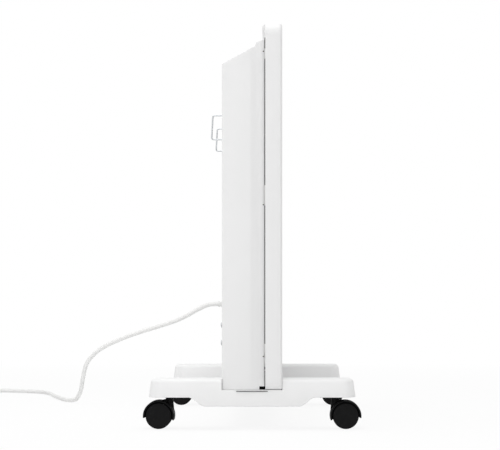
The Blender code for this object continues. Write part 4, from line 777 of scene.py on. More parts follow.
def louvres():
    low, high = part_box("outlet_grille")
    half = high.x - GRILLE_OVERLAP
    bottom, top = low.z + GRILLE_OVERLAP, high.z - GRILLE_OVERLAP
    back = low.y + GRILLE_FRAME
    border = block(low, (high.x, back, high.z))
    opening = block((-half, low.y - OVERRUN, bottom), (half, high.y + OVERRUN, top))
    blades = bmesh.new()
    swept = BLADE_DEPTH * cos(BLADE_TILT) + BLADE_THICKNESS * sin(BLADE_TILT)
    middle = low.y + BLADE_SET_BACK + swept / 2
    for i in range(BLADES):
        height = bottom + (i + 1) * (top - bottom) / (BLADES + 1)
        verts = add_block(
            blades, (-half - GRILLE_ROOT, -BLADE_DEPTH / 2, -BLADE_THICKNESS / 2),
            (half + GRILLE_ROOT, BLADE_DEPTH / 2, BLADE_THICKNESS / 2),
        )
        place = Matrix.Translation((0, middle, height)) @ Matrix.Rotation(BLADE_TILT, 4, "X")
        bmesh.ops.transform(blades, matrix=place, verts=verts)
    uprights = bmesh.new()
    for i in range(UPRIGHTS):
        across = -half + (i + 1) * 2 * half / (UPRIGHTS + 1)
        add_block(
            uprights,
            (across - UPRIGHT_WIDTH / 2, low.y + UPRIGHT_SET_BACK, bottom - GRILLE_ROOT),
            (across + UPRIGHT_WIDTH / 2, back, top + GRILLE_ROOT),
        )
    border = soften(cut(border, opening), GRILLE_EDGE)
    return joined(border, soften(blades, GRILLE_EDGE, 60, 3), soften(uprights, GRILLE_EDGE))


piece("louvred_grille", louvres(), grey_coat, "grey_coated_grille", "heater", "outlet_grille")


# Rear housing
# One folded sheet of the same steel: rear wall, sloped top and two sides that dip in softly before
# they meet the panel. Its front edge steps in and slides into the tray.

SIDE_FLAT = 0.0345
SIDE_LEAN = 0.0024
SIDE_DIP = 0.0008
SIDE_STEPS = 14
FLANGE_REACH = 0.0107
FLANGE_INSET = 0.0041
FLANGE_START = 0.022
CREST_RUN = 0.0100
CREST_DROP = 0.0033
STEP_RUN = 0.0022
STEP_DROP = 0.0053
SLOPE_DROP = 0.0220
FOLD_RADIUS = 0.0012
NOTCH_DEPTH = 0.0063
NOTCH_HEIGHT = 0.0039
CLIP_HEIGHTS = (0.0405, 0.2266, 0.4146)
CLIP_RADIUS = 0.0007
CLIP_BEHIND = 0.0013
CLIP_PROUD = 0.0003
CLEARANCE = 0.0003
LOOP_HEIGHTS = (0.3735, 0.4055)
WIRE_HOLE_RADIUS = 0.0013
SCREW_HOLE_RADIUS = 0.0019
GLAND_HOLE_RADIUS = 0.0063
PLATE_OVERLAP = 0.004
PLATE_CORNER = 0.004

housing_low, housing_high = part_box("rear_housing")
seam_y = housing_low.y + FLANGE_REACH
side_x = housing_high.x
front_x = side_x - SIDE_LEAN
flange_x = front_x - FLANGE_INSET
bend_y = housing_high.y - SIDE_FLAT


def add_rod(bm, start, end, radius, steps=48):
    start, end = Vector(start), Vector(end)
    aim = (end - start).to_track_quat("Z", "Y").to_matrix().to_4x4()
    bmesh.ops.create_cone(
        bm, cap_ends=True, segments=steps, radius1=radius, radius2=radius,
        depth=(end - start).length, matrix=Matrix.Translation((start + end) / 2) @ aim,
    )


def add_side_block(bm, side, across, along, up):
    """A block on one side of the heater, between two places out from its middle."""
    near, far = sorted(side * x for x in across)
    add_block(bm, (near, along[0], up[0]), (far, along[1], up[1]))


def side_inset(y):
    """How far a side stands in from its flat rear part, between the bend and the seam."""
    share = (bend_y - y) / (bend_y - seam_y)
    return SIDE_LEAN * share + SIDE_DIP * (1 - cos(2 * pi * share)) / 2


def folded_shell():
    """The shell's right half, from its middle out, as an open surface with rounded folds."""
    step_z = housing_high.z - CREST_DROP
    slope_z = step_z - STEP_DROP
    outline = [
        (housing_high.y, housing_low.z), (housing_high.y, slope_z - SLOPE_DROP),
        (seam_y + CREST_RUN + STEP_RUN, slope_z), (seam_y + CREST_RUN, step_z),
        (seam_y, housing_high.z), (seam_y, housing_low.z),
    ]
    bm = drawn_out(outline, "X", 0, side_x)
    open_sides = [
        f for f in bm.faces
        if all(v.co.x < NEAR for v in f.verts)
        or all(v.co.y < seam_y + NEAR for v in f.verts)
        or all(v.co.z < housing_low.z + NEAR for v in f.verts)
    ]
    bmesh.ops.delete(bm, geom=open_sides, context="FACES")
    soften(bm, FOLD_RADIUS, 5, 4)
    for i in range(SIDE_STEPS):
        y = bend_y + (seam_y - bend_y) * i / SIDE_STEPS
        if all(abs(v.co.y - y) > FOLD_RADIUS / 3 for v in bm.verts):
            whole = bm.verts[:] + bm.edges[:] + bm.faces[:]
            bmesh.ops.bisect_plane(bm, geom=whole, plane_co=(0, y, 0), plane_no=(0, 1, 0))
    for v in bm.verts:
        if v.co.x > side_x / 2 and v.co.y < bend_y:
            v.co.x -= side_inset(v.co.y)
    return bm


def add_flange(bm):
    rim = [
        e for e in bm.edges
        if len(e.link_faces) == 1 and all(abs(v.co.y - seam_y) < NEAR for v in e.verts)
    ]
    inward = bmesh.ops.extrude_edge_only(bm, edges=rim)["geom"]
    across = flange_x / front_x
    up = 1 - FLANGE_INSET / (housing_high.z - housing_low.z)
    for v in inward:
        if isinstance(v, bmesh.types.BMVert):
            v.co.x *= across
            v.co.z = housing_low.z + (v.co.z - housing_low.z) * up
    edges = [e for e in inward if isinstance(e, bmesh.types.BMEdge)]
    forward = bmesh.ops.extrude_edge_only(bm, edges=edges)["geom"]
    moved = [v for v in forward if isinstance(v, bmesh.types.BMVert)]
    bmesh.ops.translate(bm, vec=(0, -FLANGE_REACH, 0), verts=moved)
    bmesh.ops.recalc_face_normals(bm, faces=bm.faces)


def both_sides(bm):
    item = held(bm)
    mirror = item.modifiers.new("left half", "MIRROR")
    mirror.merge_threshold = NEAR
    return finished(item)


def side_cutters():
    """Holes for the clips, and the foot of each side's front edge."""
    holes, feet = bmesh.new(), bmesh.new()
    outside = side_x + OVERRUN
    for side in (-1, 1):
        for height in CLIP_HEIGHTS:
            y, z = seam_y + CLIP_BEHIND, housing_low.z + height
            add_rod(
                holes, (side * (flange_x + 2 * CLEARANCE), y, z), (side * outside, y, z),
                CLIP_RADIUS + CLEARANCE / 3, 24,
            )
        across = (flange_x - 2 * SHEET, outside)
        front, bottom = housing_low.y - OVERRUN, housing_low.z - OVERRUN
        notch_top, flange_foot = housing_low.z + NOTCH_HEIGHT, housing_low.z + FLANGE_START
        add_side_block(holes, side, across, (front, seam_y + NOTCH_DEPTH), (bottom, notch_top))
        add_side_block(feet, side, across, (front, seam_y - CLEARANCE), (bottom, flange_foot))
    return holes, feet


def wall_holes():
    """Holes in the rear wall for the wires, the screws and the gland."""
    bm = bmesh.new()
    start, end = housing_high.y - 2 * SHEET, housing_high.y + OVERRUN
    for hand in SIDES:
        across = centre(f"cord_loop_{hand}").x
        for height in LOOP_HEIGHTS:
            add_rod(bm, (across, start, height), (across, end, height), WIRE_HOLE_RADIUS, 24)
        for number in (1, 2):
            spot = centre(f"rear_screw_{hand}_{number}")
            add_rod(bm, (spot.x, start, spot.z), (spot.x, end, spot.z), SCREW_HOLE_RADIUS, 24)
    x, z = CORD_EXIT.x, CORD_EXIT.z
    add_rod(bm, (x, start, z), (x, end, z), GLAND_HOLE_RADIUS)
    return bm


def controls_opening():
    low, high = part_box("control_plate")
    middle = centre("control_plate")
    outline = rounded_rectangle(
        high.y - low.y - 2 * PLATE_OVERLAP, high.z - low.z - 2 * PLATE_OVERLAP, PLATE_CORNER,
        middle.y, middle.z,
    )
    return drawn_out(outline, "X", side_x - OVERRUN, side_x + OVERRUN)


shell = folded_shell()
add_flange(shell)
shell = cut(sheet(both_sides(shell), SHEET), *side_cutters(), wall_holes(), controls_opening())
piece("folded_housing", shell, powder_coat, "white_painted_steel", "heater", "rear_housing")


# Catches and clips
# White nylon strips on the housing's front edge fill parts of the seam. Three spring clips a side
# hold the panel on; their black ends are painted shade for the hook slots beside the seam.

STRIP_THICKNESS = 0.001
STRIP_DEPTH = 0.0082
STRIP_TOP = 0.4176
CATCHES = ((0.0314, 0.0074), (0.0435, 0.0120), (0.2262, 0.0240), (0.4060, 0.0114))
CATCH_PROUD = 0.0002
CATCH_EDGE = 0.0002
CLIP_EDGE = 0.00015

# Nylon, moulded: a milky white
white_nylon = surface("moulded_white_nylon", "#ececea", "#e4e4e2", 0.01, (0.4, 0.5), 0.001, 0.00002)
# Spring steel, painted black with nearly no shine for the shade of the hook slots
slot_shade_black = surface(
    "slot_shade_black_steel", "#111111", "#0a0a0a", 0.004, (0.55, 0.7), 0.0006, 0.00001,
    Metallic=0.6,
)


def catch_strip(side):
    inner = flange_x + CLEARANCE
    back = seam_y - CLEARANCE
    base = housing_low.z
    bm = bmesh.new()
    up = (base + FLANGE_START + CLEARANCE, base + STRIP_TOP)
    add_side_block(bm, side, (inner, inner + STRIP_THICKNESS), (back - STRIP_DEPTH, back), up)
    along = (back - STRIP_DEPTH / 2, back + CLEARANCE / 2)
    for low, tall in CATCHES:
        up = (base + low, base + low + tall)
        add_side_block(bm, side, (inner, front_x + CATCH_PROUD), along, up)
    return soften(bm, CATCH_EDGE)


def clips(side):
    """Black buttons in their holes, each with a wider root behind the sheet; their black is painted
    shade for the hook slots.
    """
    bm = bmesh.new()
    y = seam_y + CLIP_BEHIND
    for height in CLIP_HEIGHTS:
        z = housing_low.z + height
        face, root = side * (front_x + CLIP_PROUD), side * (front_x - SHEET)
        add_rod(bm, (root, y, z), (face, y, z), CLIP_RADIUS, 24)
        add_rod(bm, (root - side * SHEET, y, z), (root, y, z), 2 * CLIP_RADIUS, 24)
    return soften(bm, CLIP_EDGE, 60)


for hand, side in SIDES.items():
    piece(
        f"catch_strip_{hand}", catch_strip(side), white_nylon, "white_moulded_plastic", "heater",
        f"panel_catch_{hand}",
    )
    piece(f"spring_clips_{hand}", clips(side), slot_shade_black, "bright_steel", "heater")


# Painted shade in the seam
# Black bands paint the shade at the top and bottom of the seam, thin black bands on the strip
# between the catches darken the rest, and a black block paints the shade in each side's notch.

SHADE_BAND_THICKNESS = 0.0015
SEAM_SHADE_BANDS = ((0.0005, 0.0225), (0.0245, 0.0032), (0.4190, 0.0130))
THIN_SEAM_SHADE_BANDS = ((0.0560, 0.1697), (0.2507, 0.1548))
THIN_SHADE_BAND = 0.0003
SHADE_BAND_GAP = 0.00002
SHADE_BAND_FRONT = 0.0012
SHADE_BAND_EDGE = 0.0001
NOTCH_SHADE_SET_BACK = 0.0004

# Painted shade: dead black, with cells drawn 0.4 mm wide, for the seam, its notches and the feet's
# slots
painted_shade_black = surface(
    "painted_shade_black_surface", "#0b0b0b", "#060606", 0.003, (0.9, 1.0), 0.0004, 0.0001,
    Specular_IOR_Level=0.1,
)


# Black blocks in the seam and in the notch at its foot: painted shade
def painted_seam_shade(side):
    bm = bmesh.new()
    inner = flange_x + CLEARANCE
    strip_face = inner + STRIP_THICKNESS
    along = (seam_y - SHADE_BAND_FRONT, seam_y - CLEARANCE / 3)
    for tapes, across in (
        (SEAM_SHADE_BANDS, (inner, inner + SHADE_BAND_THICKNESS)),
        (THIN_SEAM_SHADE_BANDS, (strip_face + SHADE_BAND_GAP, strip_face + THIN_SHADE_BAND)),
    ):
        for low, tall in tapes:
            bottom = housing_low.z + low
            add_side_block(bm, side, across, along, (bottom, bottom + tall))
    bottom = housing_low.z + CLEARANCE
    add_side_block(
        bm, side, (inner, front_x - NOTCH_SHADE_SET_BACK),
        (seam_y - SHADE_BAND_FRONT, seam_y + NOTCH_DEPTH - CLEARANCE / 3),
        (bottom, bottom + NOTCH_HEIGHT - CLEARANCE * 4 / 3),
    )
    return soften(bm, SHADE_BAND_EDGE)


for hand, side in SIDES.items():
    piece(f"painted_seam_shade_{hand}", painted_seam_shade(side), painted_shade_black, "black_moulded_plastic", "heater")


# Wire hooks
# Bright zinc-plated 2 mm steel wire, bent square; each leg passes through the rear wall and is
# turned over inside.

# Zinc plate on steel: bright, bluish and slightly cloudy
zinc = surface(
    "bright_zinc_plate", "#c8cacc", "#b0b3b6", 0.006, (0.22, 0.34), 0.0006, 0.00001, Metallic=1.0
)
LOOP_RADIUS = 0.0010
LOOP_REACHES = (0.0198, 0.0181)
LOOP_CORNER = 0.0032
HOOK = 0.006
HOOK_RADIUS = 0.0018


def rounded_path(points, radii, steps=10):
    """The points with a curve in place of each inner corner."""
    path = [points[0]]
    for before, corner, after, radius in zip(points, points[1:], points[2:], radii):
        start = corner + (before - corner).normalized() * radius
        end = corner + (after - corner).normalized() * radius
        for i in range(steps + 1):
            share = i / steps
            path.append(start.lerp(corner, share).lerp(corner.lerp(end, share), share))
    return path + [points[-1]]


for hand in SIDES:
    across = centre(f"cord_loop_{hand}").x
    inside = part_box(f"cord_loop_{hand}")[0].y + LOOP_RADIUS
    lower, upper = LOOP_HEIGHTS
    outline = (
        (inside, upper + HOOK), (inside, upper), (housing_high.y + LOOP_REACHES[1], upper),
        (housing_high.y + LOOP_REACHES[0], lower), (inside, lower), (inside, lower - HOOK),
    )
    corners = [Vector((across, y, z)) for y, z in outline]
    path = rounded_path(corners, (HOOK_RADIUS, LOOP_CORNER, LOOP_CORNER, HOOK_RADIUS))
    wire = tube(f"wire_hook_{hand}", path, LOOP_RADIUS, zinc)
    declared(wire, "bright_steel", "heater", f"cord_loop_{hand}")


# Screws
# Zinc-plated pan heads with a cross recess: four in the rear wall and four up inside the feet.

def screw(length, head_radius, head, shank, dome):
    """A screw with its tip at the origin and its head at the top."""
    turns = [pi / 2 * i / 8 for i in range(9)]
    cap = [(head_radius * sin(a), length - dome * (1 - cos(a))) for a in turns]
    profile = cap + [(head_radius, length - head), (shank, length - head), (shank, 0), (0, 0)]
    reach, thick = head_radius * 0.55, head_radius * 0.13
    low, high = length - head * 0.7, length + OVERRUN
    slots = [block((-x, -y, low), (x, y, high)) for x, y in ((reach, thick), (thick, reach))]
    return cut(turned(profile, 32), *slots)


for name in [f"rear_screw_{hand}_{number}" for hand in SIDES for number in (1, 2)]:
    low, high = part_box(name)
    middle = centre(name)
    bm = screw(high.y - low.y, (high.x - low.x) / 2, head=0.0014, shank=0.0016, dome=0.001)
    placed(bm, (middle.x, low.y, middle.z), -pi / 2, "X")
    piece(name + "_head", bm, zinc, "bright_steel", "heater", name)

for name in [f"foot_screw_{number}" for number in (1, 2, 3, 4)]:
    low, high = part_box(name)
    middle = centre(name)
    bm = screw(high.z - low.z, (high.x - low.x) / 2, head=0.003, shank=0.0025, dome=0.0015)
    placed(bm, (middle.x, middle.y, high.z), pi, "X")
    piece(name + "_head", bm, zinc, "bright_steel", "heater", name)


# Feet
# Each foot is moulded in white ABS and hollow underneath: a bar with soft corners that drops in an
# S curve to its middle, and a notch that the heater's body stands in. A black strip in a slot in
# each of its sides, under the body, is painted shade that darkens the slot's line.

# ABS, moulded: a soft white sheen over the fine grain of the tool
white_abs = surface(
    "moulded_white_abs", "#f1f1f1", "#ededed", 0.08, (0.34, 0.42), 0.0016, 0.00003, IOR=1.54
)
FOOT_CORNER = 0.016
FOOT_EDGE = 0.005
FOOT_UNDER_EDGE = 0.0012
FOOT_END_THICKNESS = 0.0225
FOOT_DRAFT = 0.0023
FOOT_MIDDLE = 0.057
FOOT_SLOPE = 0.021
FOOT_WALL = 0.003
FOOT_END_EXTRA = 0.002
STATION_GAP = 0.002
FOOT_NOTCH_GAP = 0.0002
FOOT_SEAT = 0.0488
SWIVEL_Y = 0.1024
BOSS_RADIUS = 0.008
STEM_RADIUS = 0.003
FOOT_SCREWS = (-0.001, 0.024)
FOOT_HEAD_RADIUS = 0.005
FOOT_HEAD_SEAT = 0.0103
FOOT_SHANK_HOLE = 0.0028
STEM_BORE = 0.0128
SLOT_LENGTH = 0.0384
SLOT_HEIGHT = 0.04685
SLOT_WIDTH = 0.0007
SLOT_DEPTH = 0.006
SLOT_SET_BACK = 0.0003
SLOT_FIT = 0.00003


def foot_plan(half_width, half_length, radius):
    """The foot's outline seen from above, with points along its sides for the S curve below."""
    corner = arc(half_width - radius, half_length - radius, radius, 0, pi / 2, 10)
    stations = [FOOT_MIDDLE * i / 4 for i in range(4)]
    stations += [FOOT_MIDDLE + FOOT_SLOPE * i / 14 for i in range(15)]
    stations = [y for y in stations if y < half_length - radius - STATION_GAP]
    right = [(half_width, y) for y in stations] + [(half_width, half_length - radius)] + corner[1:]
    right += [(x, half_length) for x in (half_width * 0.3, 0)]
    quarter = [p for p in right if p[0] > 0]
    top = quarter + [(0, half_length)] + [(-x, y) for x, y in reversed(quarter)]
    return top + [(x, -y) for x, y in reversed(top) if 0 < y]


def underside(y, low, end_low):
    share = min(max((abs(y) - FOOT_MIDDLE) / FOOT_SLOPE, 0), 1)
    return low + (end_low - low) * (1 - cos(pi * share)) / 2


def bridge(bm, rings):
    """Faces between closed rings of points, from each ring to the next."""
    for ring, after in zip(rings, rings[1:]):
        for i in range(len(ring)):
            j = (i + 1) % len(ring)
            bm.faces.new((ring[i], ring[j], after[j], after[i]))


def foot_solid(low, high):
    """Rings of the plan, from the edge of the underside up to the edge of the top."""
    half_width, half_length = (high.x - low.x) / 2, (high.y - low.y) / 2
    end_low = high.z - FOOT_END_THICKNESS
    turns = [pi / 2 * i / 6 for i in range(7)]
    rings = [(FOOT_UNDER_EDGE * (1 - sin(a)), FOOT_UNDER_EDGE * (1 - cos(a)), None) for a in turns]
    for a in turns:
        inset = FOOT_DRAFT + FOOT_EDGE * (1 - cos(a))
        rings.append((inset, None, high.z - FOOT_EDGE * (1 - sin(a))))
    bm = bmesh.new()
    made = []
    for inset, lift, height in rings:
        plan = foot_plan(half_width - inset, half_length - inset, FOOT_CORNER - inset)
        made.append([
            bm.verts.new((x, y, height if lift is None else underside(y, low.z, end_low) + lift))
            for x, y in plan
        ])
    bridge(bm, made)
    bm.faces.new(made[-1])
    rows = {}
    for v in made[0]:
        rows.setdefault(round(v.co.y, 7), []).append(v)
    ordered = [sorted(row, key=lambda v: v.co.x) for _, row in sorted(rows.items())]
    for row, after in zip(ordered, ordered[1:]):
        corners = [row[0], row[-1], after[-1], after[0]]
        distinct = [v for i, v in enumerate(corners) if v not in corners[:i]]
        if len(distinct) > 2:
            bm.faces.new(distinct)
    bmesh.ops.translate(bm, vec=((low.x + high.x) / 2, 0, 0), verts=bm.verts)
    return bm


def end_pocket(middle, end, low, high):
    near = FOOT_MIDDLE + FOOT_SLOPE + FOOT_WALL
    far = high.y - FOOT_WALL - FOOT_END_EXTRA
    width = high.x - low.x - 2 * FOOT_WALL
    end_low = high.z - FOOT_END_THICKNESS
    outline = rounded_rectangle(
        width, far - near, FOOT_CORNER - FOOT_WALL, middle, end * (near + far) / 2
    )
    pocket = drawn_out(outline, "Z", end_low - OVERRUN, high.z - FOOT_WALL)
    for v in pocket.verts:
        if v.co.z > end_low:
            v.co.x = middle + (v.co.x - middle) * (1 - 2 * (FOOT_DRAFT + FOOT_WALL / 2) / width)
            v.co.y -= end * (FOOT_DRAFT + FOOT_WALL / 2) * (v.co.y * end - near) / (far - near)
    boss, rib = bmesh.new(), bmesh.new()
    y = end * SWIVEL_Y
    add_rod(boss, (middle, y, end_low - 2 * OVERRUN), (middle, y, high.z), BOSS_RADIUS)
    add_block(
        rib, (middle - width, y - FOOT_WALL / 2, end_low + FOOT_WALL / 2),
        (middle + width, y + FOOT_WALL / 2, high.z),
    )
    return cut(pocket, boss, rib)


def under_cutters(middle, low, high):
    """The body's notch, the two middle pockets, the screws' seats and the castors' bores."""
    notch, pockets, bores, seats, shanks, slots = (bmesh.new() for _ in range(6))
    half = housing_high.y + FOOT_NOTCH_GAP
    add_block(
        notch, (low.x - OVERRUN, -half, FOOT_SEAT), (high.x + OVERRUN, half, high.z + OVERRUN)
    )
    start = FOOT_SCREWS[1] + FOOT_HEAD_RADIUS + FOOT_WALL
    end_low = high.z - FOOT_END_THICKNESS
    for end in (-1, 1):
        near, far = sorted((end * start, end * (FOOT_MIDDLE - FOOT_WALL)))
        add_block(
            pockets, (low.x + FOOT_WALL, near, low.z - OVERRUN),
            (high.x - FOOT_WALL, far, FOOT_SEAT - FOOT_WALL),
        )
        y = end * SWIVEL_Y
        bottom, top = (middle, y, end_low - OVERRUN), (middle, y, end_low + STEM_BORE)
        add_rod(bores, bottom, top, STEM_RADIUS + CLEARANCE)
    for y in FOOT_SCREWS:
        bottom, top = (middle, y, low.z - OVERRUN), (middle, y, low.z + FOOT_HEAD_SEAT)
        add_rod(seats, bottom, top, FOOT_HEAD_RADIUS + CLEARANCE)
        add_rod(shanks, (middle, y, low.z), (middle, y, high.z), FOOT_SHANK_HOLE, 24)
    for x in (low.x, high.x):
        add_block(
            slots, (x - SLOT_DEPTH, -SLOT_LENGTH / 2, SLOT_HEIGHT),
            (x + SLOT_DEPTH, SLOT_LENGTH / 2, SLOT_HEIGHT + SLOT_WIDTH),
        )
    return notch, pockets, bores, seats, shanks, slots


def painted_slot_shade(low, high):
    """A black strip set into the slot on each side of the foot: painted shade that darkens its
    line.
    """
    bm = bmesh.new()
    for x, inwards in ((low.x, 1), (high.x, -1)):
        near, far = sorted((x + inwards * SLOT_SET_BACK, x + inwards * (SLOT_DEPTH - SLOT_FIT)))
        half = SLOT_LENGTH / 2 - SLOT_FIT
        bottom, top = SLOT_HEIGHT + SLOT_FIT, SLOT_HEIGHT + SLOT_WIDTH - SLOT_FIT
        add_block(bm, (near, -half, bottom), (far, half, top))
    return bm


for hand in SIDES:
    low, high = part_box(f"foot_{hand}")
    middle = centre(f"foot_{hand}").x
    ends = [end_pocket(middle, end, low, high) for end in (-1, 1)]
    bm = cut(foot_solid(low, high), *under_cutters(middle, low, high), *ends)
    piece(f"moulded_foot_{hand}", bm, white_abs, "white_moulded_plastic", "heater", f"foot_{hand}")
    piece(f"painted_slot_shade_{hand}", painted_slot_shade(low, high), painted_shade_black, "black_moulded_plastic", "heater")


# Castors
# Twin-wheel castors in black nylon: a hood with a web between the wheels and a stem up into the
# foot, and two solid wheels on a steel axle. All four are the same.

# Nylon with glass fibre, moulded black: a low sheen that greys slightly at grazing angles
black_nylon = surface(
    "moulded_black_nylon", "#0d0d0e", "#09090a", 0.01, (0.5, 0.62), 0.0009, 0.00004,
    Specular_IOR_Level=0.12,
)
# Wheels: the same nylon, dulled by the floor
black_wheel = surface(
    "scuffed_black_nylon", "#121213", "#0d0d0d", 0.006, (0.6, 0.75), 0.0012, 0.00005,
    Specular_IOR_Level=0.12,
)
WHEEL_RADIUS = 0.016
WHEEL_WIDTH = 0.009
TRAIL = 0.0128
WEB_WIDTH = 0.0096
WEB_LOBE = 0.009
HOOD_INNER = 0.0172
HOOD_OUTER = 0.0192
HOOD_DROOP = radians(7)
HOOD_REAR_DROOP = radians(16)
NECK_RADIUS = 0.0045
COLLAR_RADIUS = 0.0055
AXLE_RADIUS = 0.002
END_LOW = 0.0395
FENDER_EDGE = 0.0007
WEB_EDGE = 0.0005
WEB_OVERLAP = 0.0004
SHOULDER_DROP = 0.0028
SHOULDER_HALF_WIDTH = 0.0036
SHOULDER_EDGE = 0.0006
STEM_LENGTH = 0.0125
STEM_EDGE = 0.0005
WHEEL_EDGE = 0.0012
WHEEL_BORE = 0.0079
WHEEL_LINE = 0.0002
DISC_RADIUS = 0.0138
AXLE_EDGE = 0.0004


def hood_fender(half):
    """A bent strip over both wheels, with rounded edges."""
    thick = HOOD_OUTER - HOOD_INNER
    section = rounded_rectangle(2 * half, thick, FENDER_EDGE, 0, HOOD_INNER + thick / 2, 4)
    bm = bmesh.new()
    steps = 48
    rings = []
    for i in range(steps + 1):
        angle = -HOOD_DROOP + (pi + HOOD_DROOP + HOOD_REAR_DROOP) * i / steps
        along, up = cos(angle), sin(angle)
        ring = [(x, TRAIL + r * along, WHEEL_RADIUS + r * up) for x, r in section]
        rings.append([bm.verts.new(place) for place in ring])
    bridge(bm, rings)
    bm.faces.new(rings[0])
    bm.faces.new(rings[-1])
    bmesh.ops.recalc_face_normals(bm, faces=bm.faces)
    return bm


def hood_web():
    """The plate between the wheels, round below the axle and up to the fender above it."""
    top = arc(TRAIL, WHEEL_RADIUS, HOOD_INNER + WEB_OVERLAP, -HOOD_DROOP, pi + HOOD_REAR_DROOP, 48)
    lobe = arc(TRAIL, WHEEL_RADIUS, WEB_LOBE, pi * 1.1, 1.95 * pi, 20)
    return soften(drawn_out(top + lobe, "X", -WEB_WIDTH / 2, WEB_WIDTH / 2), WEB_EDGE)


def hood_shoulder():
    """The shoulder that carries the neck's load down the back of the hood."""
    across, top, crown = NECK_RADIUS, END_LOW - SHOULDER_DROP, WHEEL_RADIUS + HOOD_OUTER
    outline = [
        (-across, top), (across * 0.7, top), (TRAIL - 0.001, crown - 0.0004),
        (TRAIL - HOOD_INNER * 0.6, WHEEL_RADIUS + HOOD_INNER * 0.75),
        (-across - 0.0012, WHEEL_RADIUS + 0.0075),
    ]
    slab = drawn_out(outline, "X", -SHOULDER_HALF_WIDTH, SHOULDER_HALF_WIDTH)
    return soften(slab, SHOULDER_EDGE, 20, 3)


def castor_neck():
    """The neck that stands on the hood, its collar under the foot, and the stem above it."""
    seat, low = END_LOW - CLEARANCE, WHEEL_RADIUS + WEB_LOBE
    top = seat + STEM_LENGTH
    profile = [(0, top), (STEM_RADIUS - STEM_EDGE, top), (STEM_RADIUS, top - STEM_EDGE)]
    profile += [(STEM_RADIUS, seat)] + rounded_rim(COLLAR_RADIUS, seat, STEM_EDGE, 3)
    profile += [(COLLAR_RADIUS, seat - 0.0012), (NECK_RADIUS + 0.0006, seat - 0.0014)]
    profile += [(NECK_RADIUS, seat - 0.0022), (NECK_RADIUS, low), (0, low)]
    return turned(profile, 48)


def castor_wheel():
    """A wheel turned about Z, its inner face at the origin, with a disc that hides the axle."""
    face, hub, edge = WHEEL_WIDTH - WHEEL_LINE, AXLE_RADIUS + CLEARANCE, WHEEL_EDGE
    profile = [(0, face), (DISC_RADIUS, face), (DISC_RADIUS + WHEEL_LINE, WHEEL_WIDTH)]
    profile += rounded_rim(WHEEL_RADIUS, WHEEL_WIDTH, edge, 6)
    for depth, share in ((0, 0.55), (WHEEL_LINE, 0.5), (0, 0.45)):
        profile.append((WHEEL_RADIUS - depth, WHEEL_WIDTH * share))
    profile += arc(WHEEL_RADIUS - edge, edge, edge, 0, -pi / 2, 6)
    profile += [(hub, 0), (hub, WHEEL_BORE), (0, WHEEL_BORE)]
    return turned(profile, 72)


def castor_axle(half):
    edge = AXLE_EDGE
    profile = [(0, half), (AXLE_RADIUS - edge, half), (AXLE_RADIUS, half - edge)]
    profile += [(AXLE_RADIUS, edge - half), (AXLE_RADIUS - edge, -half), (0, -half)]
    return placed(turned(profile, 32), (0, TRAIL, WHEEL_RADIUS), pi / 2, "Y")


foot_x = centre("foot_right").x
for row, y_side in (("front", -1), ("rear", 1)):
    for hand, x_side in SIDES.items():
        name = f"castor_{row}_{hand}"
        swivel = (x_side * foot_x, y_side * SWIVEL_Y, 0), 0 if y_side > 0 else pi
        low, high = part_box(f"{name}_hood")
        half = (high.x - low.x) / 2
        hood = joined(hood_fender(half), hood_web(), hood_shoulder(), castor_neck())
        piece(
            f"{name}_shell", placed(hood, *swivel), black_nylon, "black_moulded_plastic",
            f"{row}_{hand}_castor", f"{name}_hood",
        )
        low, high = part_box(f"{name}_axle")
        axle = placed(castor_axle((high.x - low.x) / 2), *swivel)
        piece(
            f"{name}_spindle", axle, zinc, "bright_steel", f"{row}_{hand}_castor", f"{name}_axle"
        )
        for place, out in (("outer", 1), ("inner", -1)):
            away = out * x_side * y_side
            spot = (away * (WEB_WIDTH / 2 + CLEARANCE), TRAIL, WHEEL_RADIUS)
            wheel = placed(placed(castor_wheel(), spot, away * pi / 2, "Y"), *swivel)
            piece(
                f"{name}_roller_{place}", wheel, black_wheel, "black_wheel_tread",
                f"{row}_{hand}_{place}_wheel", f"{name}_wheel_{place}",
            )


# Control plate, knob and switches
# On the right side: a moulded plate with a ring of dots round the thermostat's knob, and two black
# rockers, each marked with a line and a circle.

PLATE_EDGE = 0.0006
SWITCH_HOLE = (0.0066, 0.0096)
SPINDLE_RADIUS = 0.003
KNOB_GAP = 0.0005
KNOB_SKIRT = 0.0035
KNOB_EDGE = 0.0008
FLUTES = 30
FLUTE_RADIUS = 0.0006
FLUTE_OUT = 0.0003
GRIP_WIDTH = 0.0066
GRIP_CORNER = 0.0031
GRIP_INSET = 0.0013
DOTS = 9
DOT_RADIUS = 0.0006
DIAL_RADIUS = 0.01335
KNOB_SWEEP = radians(290)


def control_panel():
    low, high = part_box("control_plate")
    middle = centre("control_plate")
    outline = rounded_rectangle(high.y - low.y, high.z - low.z, PLATE_CORNER, middle.y, middle.z)
    bm = soften(drawn_out(outline, "X", low.x, high.x), PLATE_EDGE, 60, 3)
    back, front = low.x - OVERRUN, high.x + OVERRUN
    holes, spindle = bmesh.new(), bmesh.new()
    across, up = SWITCH_HOLE
    for number in (1, 2):
        y, z = centre(f"switch_body_{number}").yz
        add_block(holes, (back, y - across, z - up), (front, y + across, z + up))
    y, z = centre("thermostat_knob").yz
    add_rod(spindle, (back, y, z), (front, y, z), SPINDLE_RADIUS + CLEARANCE)
    return cut(bm, holes, spindle)


piece(
    "control_panel", control_panel(), white_abs, "white_moulded_plastic", "heater", "control_plate"
)


